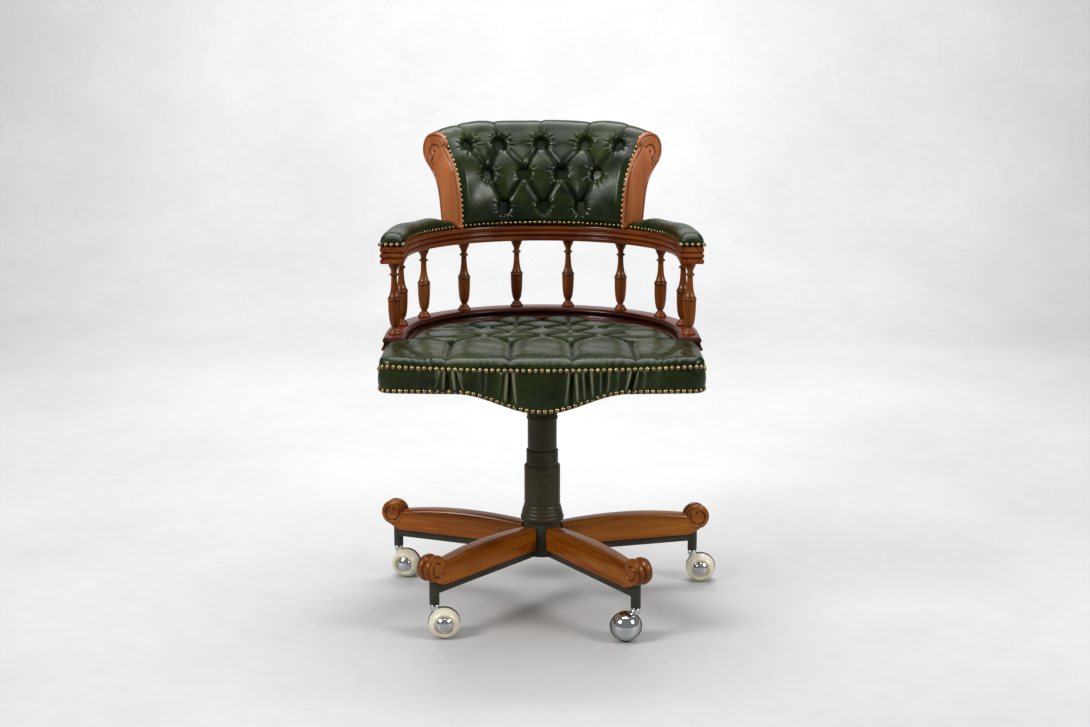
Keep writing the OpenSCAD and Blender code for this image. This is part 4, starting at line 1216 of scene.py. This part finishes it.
class CHAIR_OT_rails(bpy.types.Operator):
    """Build the moulded lower and upper rails"""
    bl_idname = "chair.rails"
    bl_label = "Rails"

    def execute(self, context):
        run = ARC_Y - ARM_Y
        low = rail_profile(RAIL_LOW.z, RAIL_HIGH.z, False)
        high = rail_profile(TOP_LOW.z, TOP_HIGH.z, True)
        quarter = math.pi / 2
        gap = 0.0006
        jobs = [
            ("rail_lower_right", low, 0.0, quarter, run, False, "lower_rail", "red wood"),
            ("rail_lower_left", low, 0.0, quarter, run, True, None, "red wood"),
            ("rail_upper_back", high, -JOINT_A + gap, JOINT_A - gap, 0, False, "upper_rail_back", "wood"),
            ("rail_upper_right", high, JOINT_A + gap, quarter, run, False, "upper_rail_right", "wood"),
            ("rail_upper_left", high, JOINT_A + gap, quarter, run, True, "upper_rail_left", "wood"),
        ]
        for name, profile, start, end, length, flip, node, finish in jobs:
            def make():
                bm = rail_mesh(profile, start, end, length, 96)
                if flip:
                    bmesh.ops.scale(bm, vec=(-1, 1, 1), verts=bm.verts)
                return bm

            obj = new_object(name, make, material(finish))
            set_grain(obj, arc_grain)
            groove_depth(obj)
            sharpen(obj)
            if node:
                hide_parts(node)
            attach(obj, "seat")
        return {"FINISHED"}


def sharpen(obj, angle=38):
    """Keeps true edges crisp under smooth shading."""
    bm = bmesh.new()
    bm.from_mesh(obj.data)
    for edge in bm.edges:
        edge.smooth = len(edge.link_faces) != 2 or edge.calc_face_angle() < math.radians(angle)
    bm.to_mesh(obj.data)
    bm.free()


SPINDLE_R = 0.0125
SPINDLE_NECK = 0.0052


def spindle_profile(height):
    """Profile of a turned spindle: disc foot, barrel, waist ring, swelling neck, collar and cup."""
    r, neck = SPINDLE_R, SPINDLE_NECK
    waist, ring = 0.066, height - 0.0245
    foot = [(0, 0), (r - 0.0008, 0), (r, 0.0012), (r, 0.0032), (r - 0.0016, 0.0048), (r - 0.0030, 0.0056),
            (r - 0.0034, 0.0078), (r - 0.0044, 0.0092), (neck + 0.0005, 0.0104), (neck, 0.0124)]
    barrel = [(neck + (r - 0.0008 - neck) * math.sin(math.pi / 2 * t ** 0.5), 0.0135 + (waist - 0.0175) * t)
              for t in [k / 14 for k in range(1, 15)]]
    band = [(r - 0.0012, waist - 0.0030), (r - 0.0001, waist - 0.0022), (r, waist),
            (r - 0.0008, waist + 0.0014), (r - 0.0016, waist + 0.0022)]
    swell = [(r - 0.0014 - (r - 0.0014 - neck) * math.sin(math.pi / 2 * t ** 0.62),
              waist + 0.003 + (ring - waist - 0.005) * t)
             for t in [k / 14 for k in range(1, 15)]]
    collar = [(neck + 0.0008, ring - 0.0012), (neck + 0.0028, ring - 0.0003),
              (neck + 0.0034, ring + 0.0012), (neck + 0.0028, ring + 0.0027),
              (neck + 0.0006, ring + 0.0036), (neck, ring + 0.0048)]
    cup = [(neck + 0.0004, ring + 0.0085), (neck + 0.0018, ring + 0.0125), (neck + 0.0042, ring + 0.0165),
           (r - 0.0026, ring + 0.0195), (r - 0.0016, ring + 0.0208), (r - 0.0008, height - 0.0012),
           (r - 0.0008, height), (0, height)]
    return foot + barrel + band + swell + collar + cup


class CHAIR_OT_spindles(bpy.types.Operator):
    """Turn the ten spindles of the gallery"""
    bl_idname = "chair.spindles"
    bl_label = "Spindles"

    def execute(self, context):
        low = RAIL_HIGH.z
        height = TOP_LOW.z - low
        profile = spindle_profile(height)
        for k in range(1, 11):
            node = f"spindle_{k}"
            box_low, box_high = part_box(node)
            centre = (box_low + box_high) / 2
            place = Matrix.Translation((centre.x, centre.y, low)) @ Matrix.Rotation(k * 1.3, 4, "Z")
            obj = new_object(f"turned_{node}", lambda: spun(profile, 32, place), material("turned wood"))
            set_grain(obj, lambda co: (co.z + k * 0.37, co.x - centre.x + k, co.y - centre.y))
            hollow = []
            for v in obj.data.vertices:
                z = v.co.z - low
                near = min(abs(z - h)
                           for h in (0.0066, 0.0115, 0.0625, 0.0680, height - 0.0262, height - 0.0205))
                hollow.append(0.75 * max(0, 1 - near / 0.0014))
            set_value(obj, "groove", hollow)
            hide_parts(node)
            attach(obj, "seat")
        return {"FINISHED"}


# ---------------------------------------------------------------- carved scrolls of the back

EAR_INNER = [(-0.0290, 0.0005), (-0.0275, 0.043), (-0.0165, 0.098), (-0.003, 0.126), (0.021, 0.154)]
EAR_OUTER = [(0.072, 0.125), (0.052, 0.106), (0.038, 0.087), (0.030, 0.063), (0.025, 0.033),
             (0.0205, 0.0005)]
EAR_CENTRE = (0.046, 0.147)
EAR_R = 0.034


def ear_outline():
    """Outline of a scroll board in its own plane: distance from the rail's centreline, and height."""
    inner, _ = curve_through(EAR_INNER, 26)
    outer, _ = curve_through(EAR_OUTER, 26)
    cx, cz = EAR_CENTRE
    start = math.atan2(inner[-1][1] - cz, inner[-1][0] - cx)
    end = math.atan2(outer[0][1] - cz, outer[0][0] - cx)
    arc = [(cx + EAR_R * math.cos(a), cz + EAR_R * math.sin(a)) for a in np.linspace(start, end, 28)[1:-1]]
    return [tuple(p) for p in inner] + arc + [tuple(p) for p in outer]


def outline_distance(points, outline):
    """Distance of points inside an outline to its edge."""
    best = np.full(len(points), 1.0)
    closed = outline + outline[:1]
    for (ax, ay), (bx, by) in zip(closed, closed[1:]):
        d, _ = segment_distance(points[:, 0], points[:, 1], (ax, ay, bx, by))
        best = np.minimum(best, d)
    return best


def ear_carving(points, outline):
    """Depth cut into the board's face: an incised border, a C scroll with its eye, and three leaves."""
    edge = outline_distance(points, outline)
    border = np.exp(-((edge - 0.0052) / 0.0012) ** 2)
    foot = smoothstep(0.004, 0.012, points[:, 1])
    dx, dz = points[:, 0] - EAR_CENTRE[0], points[:, 1] - EAR_CENTRE[1]
    r, a = np.hypot(dx, dz), np.arctan2(dz, dx)
    turn = (math.radians(160) - a) % math.tau
    line = 0.0105 + 0.0050 * smoothstep(3.0, 4.2, turn)
    hook = np.exp(-((r - line) / 0.0015) ** 2) * smoothstep(4.3, 4.0, turn) * smoothstep(0, 0.12, turn)
    eye = np.exp(-(np.hypot(dx + 0.001, dz + 0.003) / 0.0028) ** 2)
    leaves = np.zeros(len(points))
    for x, z, size in ((0.002, -0.0155, 0.0036), (0.006, -0.0215, 0.0030), (0.001, -0.0270, 0.0030)):
        leaves = np.maximum(leaves, np.exp(-(np.hypot(dx - x, dz - z) / size) ** 4))
    depth = 0.0016 * border * foot + 0.0022 * hook + 0.0018 * eye + 0.0014 * leaves
    mark = np.clip(0.8 * border * foot + hook + 0.8 * eye + 0.7 * leaves, 0, 1)
    return depth, mark, edge


def ear_slope(points):
    """How far the board's face falls back towards the leather, at distances from its inner edge."""
    inner, _ = curve_through(EAR_INNER, 60)
    start = np.interp(points[:, 1], inner[:, 1], inner[:, 0])
    return 0.0105 * np.clip(1 - (points[:, 0] - start) / 0.042, 0, 1)


class CHAIR_OT_scrolls(bpy.types.Operator):
    """Carve the two scroll boards at the ends of the back"""
    bl_idname = "chair.scrolls"
    bl_label = "Scroll boards"

    def execute(self, context):
        outline = ear_outline()
        thick = 0.014

        def board():
            """Fills the outline, divides it finely, and cuts the carving into its face."""
            bm = bmesh.new()
            verts = [bm.verts.new((x, z, 0)) for x, z in outline]
            bm.faces.new(verts)
            lows = [min(p[k] for p in outline) for k in (0, 1)]
            highs = [max(p[k] for p in outline) for k in (0, 1)]
            step = 0.0011
            for k, normal in ((0, (1, 0, 0)), (1, (0, 1, 0))):
                for at in np.arange(lows[k] + step, highs[k], step):
                    plane = [0.0, 0.0, 0.0]
                    plane[k] = float(at)
                    bmesh.ops.bisect_plane(bm, geom=bm.verts[:] + bm.edges[:] + bm.faces[:], dist=1e-7,
                                           plane_co=plane, plane_no=normal)
            face_points = np.array([(v.co.x, v.co.y) for v in bm.verts])
            depth, mark, edge = ear_carving(face_points, outline)
            layer = bm.verts.layers.float.new("groove")
            for v, d, m, e, back in zip(bm.verts, depth, mark, edge, ear_slope(face_points)):
                rolled = 0.0018 * max(0, 1 - e / 0.0022) ** 2
                v.co.z = thick - d - rolled - back
                v[layer] = m
            rim = [e for e in bm.edges if e.is_boundary]
            out = bmesh.ops.extrude_edge_only(bm, edges=rim)
            for v in [g for g in out["geom"] if isinstance(g, bmesh.types.BMVert)]:
                v.co.z = 0
                v[layer] = 0
            bmesh.ops.holes_fill(bm, edges=[e for e in bm.edges if e.is_boundary], sides=0)
            return bm

        for side, name in ((1, "right"), (-1, "left")):
            def make():
                bm = board()
                angle = BACK_A + math.radians(0.1)
                e = Vector((math.sin(angle), math.cos(angle), 0))
                t = Vector((math.cos(angle), -math.sin(angle), 0))
                for v in bm.verts:
                    x, z, out = v.co
                    p = e * (RAIL_R + x) + t * out
                    v.co = (side * p.x, ARC_Y + p.y, TOP_Z + z)
                return bm

            obj = new_object(f"carved_scroll_{name}", make, material("ear wood"))
            set_grain(obj, lambda co: (co.z, co.x, co.y))
            sharpen(obj, 50)
            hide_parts(f"scroll_{name}")
            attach(obj, "seat")
        return {"FINISHED"}


# ---------------------------------------------------------------- base

def on_arm(k):
    """Turns local +X to point out along an arm of the base."""
    return Matrix.Rotation(FIRST_ARM_A - math.pi / 2 + k * math.tau / ARMS, 4, "Z")


CAP_SCROLL_R = 0.025
CAP_SCROLL_UP = 0.0325
CAP_DISC_R = 0.0222
CAP_START = 0.0365
CAP_W = 0.030
CAP_TALL = 0.050


def cap_body(inner, scroll_x, low, high):
    """The crowned bar of a cap, with its upper edges rounded."""
    neck = scroll_x - CAP_SCROLL_R + 0.002
    middle = (inner + neck) / 2
    top = []
    for k in range(25):
        x = inner + (neck - inner) * k / 24
        t = (x - middle) / (neck - middle)
        fall = 0.0105 * t * t * (1 if t > 0 else 0.7)
        top.append((x, high - fall))
    top += [(neck + 0.006, high - 0.0125), (scroll_x, high - 0.015)]
    bottom = [(scroll_x + 0.004, low + 0.010), (scroll_x - 0.006, low + 0.004),
              (scroll_x - 0.016, low + 0.0006), (scroll_x - 0.026, low), (inner, low)]
    bm = bmesh.new()
    verts = [bm.verts.new((x, -CAP_W / 2, z)) for x, z in top + bottom]
    face = bm.faces.new(verts)
    out = bmesh.ops.extrude_face_region(bm, geom=[face])
    moved = [g for g in out["geom"] if isinstance(g, bmesh.types.BMVert)]
    bmesh.ops.translate(bm, vec=(0, CAP_W, 0), verts=moved)
    bmesh.ops.recalc_face_normals(bm, faces=bm.faces)
    ridge = []
    for edge in bm.edges:
        a, b = (v.co for v in edge.verts)
        along = abs(a.y - b.y) < 1e-6
        on_side = abs(abs(a.y) - CAP_W / 2) < 1e-6
        if along and on_side and min(a.z, b.z) > low + 0.015 and 1e-4 < abs(a.x - b.x) < 0.02:
            ridge.append(edge)
    bmesh.ops.bevel(bm, geom=ridge, offset=0.0064, offset_type="OFFSET", affect="EDGES", segments=3,
                    profile=PROFILE_ROUND, material=-1)
    return bm


def cap_scroll(scroll_x, scroll_z):
    """The scroll: a barrel of two rounded rolls, with a spiral cut in each end."""
    half = CAP_W / 2 + 0.0006
    barrel = []
    for k in range(33):
        y = -half + 2 * half * k / 32
        centre = math.exp(-(y / 0.0026) ** 2) * 0.0042
        shoulder = max(0, (abs(y) - half + 0.005) / 0.005)
        lobe = 0.0012 * (1 - math.cos(math.tau * (abs(y) / half))) / 2
        barrel.append((CAP_SCROLL_R - 0.0016 - centre - 0.0034 * shoulder ** 2 + lobe, y))
    turned = [(0.0225 * 0.9, -half)] + barrel + [(0.0225 * 0.9, half)]
    side = Matrix.Rotation(math.pi / 2, 4, "X")
    roll = spun(turned, 64, Matrix.Translation((scroll_x, 0, scroll_z)) @ side)
    layer = roll.verts.layers.float.new("groove")
    for vert in roll.verts:
        vert[layer] = 0.40
    parts = [roll]
    for facing in (-1, 1):
        disc = bmesh.new()
        layer = disc.verts.layers.float.new("groove")
        rings = [[disc.verts.new((r * math.cos(a), 0, r * math.sin(a)))
                  for a in np.linspace(0, math.tau, 97)[:-1]]
                 for r in np.linspace(0.0004, CAP_DISC_R, 44)]
        for inner, outer in zip(rings, rings[1:]):
            for k in range(96):
                disc.faces.new((inner[k - 1], inner[k], outer[k], outer[k - 1]))
        disc.faces.new(rings[0])
        for vert in disc.verts:
            x, _, z = vert.co
            cut = scroll_cut(x, z)
            raised = 0.0021 * (1 - (math.hypot(x, z) / CAP_DISC_R) ** 6) - 0.0004
            vert[layer] = 0.12 + 0.88 * cut
            vert.co = (scroll_x + x, facing * (half + raised - 0.0016 * cut), scroll_z + z)
        parts.append(disc)
    return parts


def scroll_cut(x, z):
    """Share of the spiral's groove at a place on a scroll's end: it winds from the upper inside over
    the top and round below, then out along the cap's edge."""
    r = math.hypot(x, z)
    turn = (math.radians(130) - math.atan2(z, x)) % math.tau
    line = 0.0092 + 0.0046 * (1 - math.exp(-turn * 1.4)) + 0.0045 * max(0, turn - 4.7) ** 1.6
    fade = max(0, min(1, (6.1 - turn) / 0.3)) * min(1, turn / 0.1)
    return math.exp(-((r - line) / 0.0013) ** 2) * fade


class CHAIR_OT_leg_caps(bpy.types.Operator):
    """Carve the wooden caps on the base's arms"""
    bl_idname = "chair.leg_caps"
    bl_label = "Leg caps"

    def execute(self, context):
        low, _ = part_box("leg_cap_4")
        bottom = low.z
        scroll_z = bottom + CAP_SCROLL_UP
        scroll_x = STEM_R + 0.006
        for k in range(ARMS):
            def make():
                body = cap_body(CAP_START, scroll_x, bottom, bottom + CAP_TALL)
                layer = body.verts.layers.float.new("groove")
                for vert in body.verts:
                    vert[layer] = 0.42 * smoothstep(0.026, 0.040, vert.co.z - bottom)
                return join([body] + cap_scroll(scroll_x, scroll_z))

            obj = new_object(f"carved_leg_cap_{k + 1}", make, material("cap wood"))
            set_grain(obj, lambda co: (co.x + k * 0.7, co.y + k * 0.11, co.z))
            sharpen(obj, 40)
            obj.data.transform(on_arm(k))
            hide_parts(f"leg_cap_{k + 1}")
            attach(obj, "base")
        return {"FINISHED"}


class CHAIR_OT_column(bpy.types.Operator):
    """Mould the three telescoping column covers"""
    bl_idname = "chair.column"
    bl_label = "Column covers"

    def execute(self, context):
        low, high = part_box("column_lower_cover")
        z = low.z
        r = 0.034
        lower = [(r - 0.003, high.z - 0.02), (r - 0.003, high.z), (r, high.z), (r, z + 0.029),
                 (r + 0.0015, z + 0.026), (r + 0.0015, z + 0.022), (r + 0.0035, z + 0.020),
                 (r + 0.0035, z + 0.015), (r + 0.005, z + 0.013), (r + 0.005, z + 0.008),
                 (r + 0.007, z + 0.006), (r + 0.007, z), (0.0255, z), (0.0255, z + 0.004)]
        self.cover("cover_lower", lower, "column_lower_cover", "base")
        low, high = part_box("column_middle_cover")
        r = 0.030
        middle = [(r - 0.0015, low.z), (r - 0.0015, high.z), (r, high.z), (r, low.z + 0.005),
                  (r + 0.0005, low.z + 0.004), (r + 0.0005, low.z), (r - 0.0015, low.z)]
        self.cover("cover_middle", middle, "column_middle_cover", "middle_cover")
        low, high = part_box("column_upper_cover")
        r = 0.0275
        collar = high.z - 0.058
        upper = [(r - 0.0015, low.z), (r - 0.0015, high.z), (r, high.z), (r, collar + 0.010),
                 (r + 0.001, collar + 0.009), (r + 0.001, collar + 0.005), (r + 0.002, collar + 0.004),
                 (r + 0.002, collar + 0.001), (r, collar), (r, low.z), (r - 0.0015, low.z)]
        self.cover("cover_upper", upper, "column_upper_cover", "lift")
        return {"FINISHED"}

    def cover(self, name, profile, node, body):
        obj = new_object(name, lambda: spun(rounded(profile, 0.0008, 2), 72), material("cover"))
        sharpen(obj, 40)
        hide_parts(node)
        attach(obj, body)


# ---------------------------------------------------------------- casters

def caster_matrix(k):
    a = FIRST_ARM_A + k * math.tau / ARMS
    place = Matrix.Translation((STEM_R * math.sin(a), -STEM_R * math.cos(a), 0))
    return place @ Matrix.Rotation(CASTER_TURNS[k], 4, "Z")


class CHAIR_OT_casters(bpy.types.Operator):
    """Build the ball casters: ivory wheels with chrome caps, under half-round chrome hoods"""
    bl_idname = "chair.casters"
    bl_label = "Casters"

    def execute(self, context):
        r = BALL_R
        tyre = [(0.0031, -0.001), (r - 0.004, -0.001), (r - 0.0012, -0.0016), (r, -0.0034), (r, -0.0085),
                (r - 0.0006, -0.0105), (r - 0.0010, -0.0112), (r - 0.0007, -0.0119), (r - 0.0024, -0.0155),
                (r - 0.0050, -0.0190), (r - 0.0074, -0.0213), (r - 0.0088, -0.0220), (r - 0.0094, -0.0214),
                (r - 0.0097, -0.0202), (r - 0.0103, -0.0200), (r - 0.0106, -0.0210), (r - 0.0114, -0.0217),
                (r - 0.0122, -0.0212), (r - 0.0126, -0.0190), (0.0031, -0.0190)]
        cap = [(0, -0.0266), (0.0052, -0.0262), (0.0100, -0.0247), (0.0130, -0.0225), (0.0139, -0.0208),
               (0.0147, -0.0205), (0.0148, -0.0196), (0.0140, -0.0186), (0, -0.0186)]
        outer = [(math.cos(t) * (r - 0.0005), math.sin(t) * (r - 0.0005))
                 for t in np.linspace(0.045, math.pi / 2, 22)]
        inner = [(math.cos(t) * (r - 0.003), math.sin(t) * (r - 0.003))
                 for t in np.linspace(math.pi / 2, 0.02, 12)]
        rim = [(r - 0.0020, 0.0006), (r + 0.0002, 0.0006), (r + 0.0008, 0.0014), (r + 0.0004, 0.0025),
               (r - 0.0010, 0.0028), (r - 0.0020, 0.0022), (r - 0.0020, 0.0006)]
        for k in range(ARMS):
            place = caster_matrix(k)
            axle = place @ Matrix.Translation((TRAIL, 0, r)) @ Matrix.Rotation(-math.pi / 2, 4, "X")
            tyre_obj = new_object(f"ball_wheel_{k + 1}", lambda: spun(tyre, 56, axle), material("ivory"))
            sharpen(tyre_obj, 45)
            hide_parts(f"caster_wheel_{k + 1}")
            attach(tyre_obj, f"wheel_{k + 1}")
            cap_obj = new_object(f"wheel_cap_{k + 1}", lambda: spun(cap, 48, axle), material("chrome"))
            sharpen(cap_obj, 45)
            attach(cap_obj, f"wheel_{k + 1}")

            def make_hood():
                parts = [spun(outer + inner, 56, axle)]
                dome = parts[0]
                low_cut = place @ Vector((0, 0, 0.0046))
                bmesh.ops.bisect_plane(dome, geom=dome.verts[:] + dome.edges[:] + dome.faces[:],
                                       plane_co=low_cut, plane_no=(0, 0, -1), clear_outer=True)
                bmesh.ops.holes_fill(dome, edges=[e for e in dome.edges if e.is_boundary], sides=0)
                boss = [(0, 0.0500), (0.0068, 0.0500), (0.0082, 0.0545), (0.0085, 0.0575), (0.0085, 0.0605),
                        (0.0078, 0.0614), (0.0054, 0.0614), (0.0054, 0.1080), (0, 0.1080)]
                parts.append(spun(boss, 32, place))
                return join(parts)

            rim_obj = new_object(f"hood_rim_{k + 1}", lambda: spun(rim, 56, axle), material("steel paint"))
            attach(rim_obj, f"caster_{k + 1}")
            hood = new_object(f"ball_hood_{k + 1}", make_hood, material("chrome"))
            sharpen(hood, 45)
            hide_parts(f"caster_hood_{k + 1}")
            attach(hood, f"caster_{k + 1}")
        return {"FINISHED"}


# ---------------------------------------------------------------- carried-over metalwork and the underside

class CHAIR_OT_spring(bpy.types.Operator):
    """Wind the tension spring"""
    bl_idname = "chair.spring"
    bl_label = "Tension spring"

    def execute(self, context):
        low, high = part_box("tension_spring")
        centre = (low + high) / 2
        wire = 0.0039 / 2
        radius = (high.x - low.x) / 2 - wire
        turns, around = 5.0, 12

        def make():
            bm = bmesh.new()
            circle = bmesh.ops.create_circle(bm, cap_ends=True, segments=around, radius=wire)
            turn = Matrix.Translation((radius, 0, low.z + wire)) @ Matrix.Rotation(math.pi / 2, 4, "X")
            bmesh.ops.transform(bm, matrix=turn, verts=circle["verts"])
            rise = (high.z - low.z - 2 * wire) / (turns * 24)
            bmesh.ops.spin(bm, geom=bm.faces[:], cent=(0, 0, 0), axis=(0, 0, 1), dvec=(0, 0, rise),
                           angle=math.tau * turns, steps=int(turns * 24), use_merge=False)
            bm.transform(Matrix.Translation((centre.x, centre.y, 0)))
            return bm

        spring = new_object("wound_spring", make, material("zinc"))
        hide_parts("tension_spring")
        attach(spring, "lift")
        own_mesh(spring)
        return {"FINISHED"}


class CHAIR_OT_frame_finish(bpy.types.Operator):
    """Give the frame's own pieces their finishes"""
    bl_idname = "chair.frame_finish"
    bl_label = "Frame finishes"

    def execute(self, context):
        finishes = {
            "steel paint": ["star_base", "gas_cylinder", "pressure_tube", "tilt_housing", "tilt_plate",
                            "height_lever", "tension_knob"],
            "zinc": ["leg_cap_screws", "thrust_bearing", "piston_rod", "cylinder_clip", "tilt_pin",
                     "spring_cup", "plate_bolts"],
            "ivory": ["guide_bush"],
            "board": ["seat_frame", "back_frame"],
        }
        for finish, names in finishes.items():
            for name in names:
                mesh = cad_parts[name].data
                mesh.materials.clear()
                mesh.materials.append(material(finish))
        return {"FINISHED"}


# ---------------------------------------------------------------- stage

# The floor's half width and front edge, then where it turns up behind, by what radius, and its top
FLOOR_HALF = 6
FLOOR_FRONT = -4.8
SWEEP_Y = 2.6
SWEEP_R = 1.8
SWEEP_TOP = 7


class CHAIR_OT_stage(bpy.types.Operator):
    """Set the pale floor, the soft light and the camera"""
    bl_idname = "chair.stage"
    bl_label = "Stage"

    def execute(self, context):
        stage = context.scene.chair_stage
        n = Nodes("studio floor")
        v = n.object_coords()
        broad = n.noise(v, 1.3, 6, 0.6)
        fine = n.noise(v, 22, 5, 0.6)
        tone = n.mix(n.span(broad, 0.35, 0.7), (0.55, 0.55, 0.55), (0.62, 0.62, 0.62))
        worn = n.mix(n.span(fine, 0.5, 0.8, 0, 0.22), tone, (0.48, 0.48, 0.48))
        # Painted reflection: in reflections the floor shows a darker grey than the camera sees, which holds
        # down the sheen on the chair.
        mirrored = n.add("ShaderNodeLightPath").outputs["Is Glossy Ray"]
        n.set(Base_Color=n.mix(mirrored, worn, (0.38, 0.38, 0.38)), Roughness=0.55)

        def sweep():
            bm = bmesh.new()
            line = [(FLOOR_FRONT, 0), (SWEEP_Y, 0)]
            for k in range(1, 17):
                a = math.pi / 2 * k / 16
                line.append((SWEEP_Y + SWEEP_R * math.sin(a), SWEEP_R - SWEEP_R * math.cos(a)))
            line.append((SWEEP_Y + SWEEP_R, SWEEP_TOP))
            verts = [bm.verts.new((-FLOOR_HALF, y, z)) for y, z in line]
            edges = [bm.edges.new(pair) for pair in zip(verts, verts[1:])]
            out = bmesh.ops.extrude_edge_only(bm, edges=edges)
            bmesh.ops.translate(bm, vec=(2 * FLOOR_HALF, 0, 0),
                                verts=[g for g in out["geom"] if isinstance(g, bmesh.types.BMVert)])
            return bm

        floor = new_object("studio_floor", sweep, n.material)

        world = bpy.data.worlds.new("studio")
        world.use_nodes = True
        world.node_tree.nodes["Background"].inputs["Color"].default_value = (0.95, 0.97, 1.0, 1)
        tree = world.node_tree
        seen = tree.nodes.new("ShaderNodeLightPath").outputs["Is Camera Ray"]
        strength = tree.nodes.new("ShaderNodeMapRange")
        strength.inputs["To Min"].default_value = 0.20
        strength.inputs["To Max"].default_value = 0.62
        tree.links.new(seen, strength.inputs["Value"])
        tree.links.new(strength.outputs["Result"], tree.nodes["Background"].inputs["Strength"])
        context.scene.world = world
        lights = [("overhead", (0.0, 0.1, 3.0), (0, 0.2, 0), 2.2, 38),
                  ("key", (-2.4, -1.7, 2.2), (0, 0, 0.5), 1.0, 54),
                  ("fill", (2.6, -1.5, 2.0), (0, 0, 0.5), 1.0, 40),
                  ("backdrop", (0, 1.6, 3.6), (0, 4.2, 1.2), 3.0, 140)]
        for name, place, target, size, power in lights:
            light = bpy.data.lights.new(name, "AREA")
            light.shape = "SQUARE"
            light.size = size
            light.energy = power
            obj = bpy.data.objects.new(name, light)
            obj.location = place
            obj.rotation_euler = (Vector(target) - Vector(place)).to_track_quat("-Z", "Y").to_euler()
            context.scene.collection.objects.link(obj)

        camera = bpy.data.cameras.new("camera")
        camera.lens = stage.lens
        camera.sensor_width = 36
        obj = bpy.data.objects.new("camera", camera)
        obj.location = (0.0053, -stage.camera_distance, stage.camera_height)
        obj.rotation_euler = (math.pi / 2 - stage.camera_pitch, 0, 0)
        context.scene.collection.objects.link(obj)
        context.scene.camera = obj
        context.scene.view_settings.view_transform = "Standard"
        context.scene.view_settings.look = "Medium High Contrast"
        return {"FINISHED"}


OPERATORS = [CHAIR_OT_stage, CHAIR_OT_frame_finish, CHAIR_OT_spring, CHAIR_OT_column, CHAIR_OT_leg_caps,
             CHAIR_OT_casters, CHAIR_OT_rails, CHAIR_OT_spindles, CHAIR_OT_scrolls, CHAIR_OT_back,
             CHAIR_OT_seat, CHAIR_OT_band, CHAIR_OT_arm_pads, CHAIR_OT_nails]


class CHAIR_PT_panel(bpy.types.Panel):
    """Lists the chair's pieces in the sidebar"""
    bl_idname = "CHAIR_PT_panel"
    bl_label = "Captain's chair"
    bl_space_type = "VIEW_3D"
    bl_region_type = "UI"
    bl_category = "Chair"

    def draw(self, context):
        for operator in OPERATORS:
            self.layout.operator(operator.bl_idname)


GROUPS = {"chair_leather": ChairLeather, "chair_wood": ChairWood, "chair_nails": ChairNails,
          "chair_stage": ChairStage}


def register():
    for cls in (*GROUPS.values(), *OPERATORS, CHAIR_PT_panel):
        bpy.utils.register_class(cls)
    for name, group in GROUPS.items():
        setattr(bpy.types.Scene, name, bpy.props.PointerProperty(type=group))


def unregister():
    for name in GROUPS:
        delattr(bpy.types.Scene, name)
    for cls in reversed((*GROUPS.values(), *OPERATORS, CHAIR_PT_panel)):
        bpy.utils.unregister_class(cls)


def main():
    register()
    for operator in OPERATORS:
        group, name = operator.bl_idname.split(".")
        getattr(getattr(bpy.ops, group), name)()


if __name__ == "__main__":
    main()
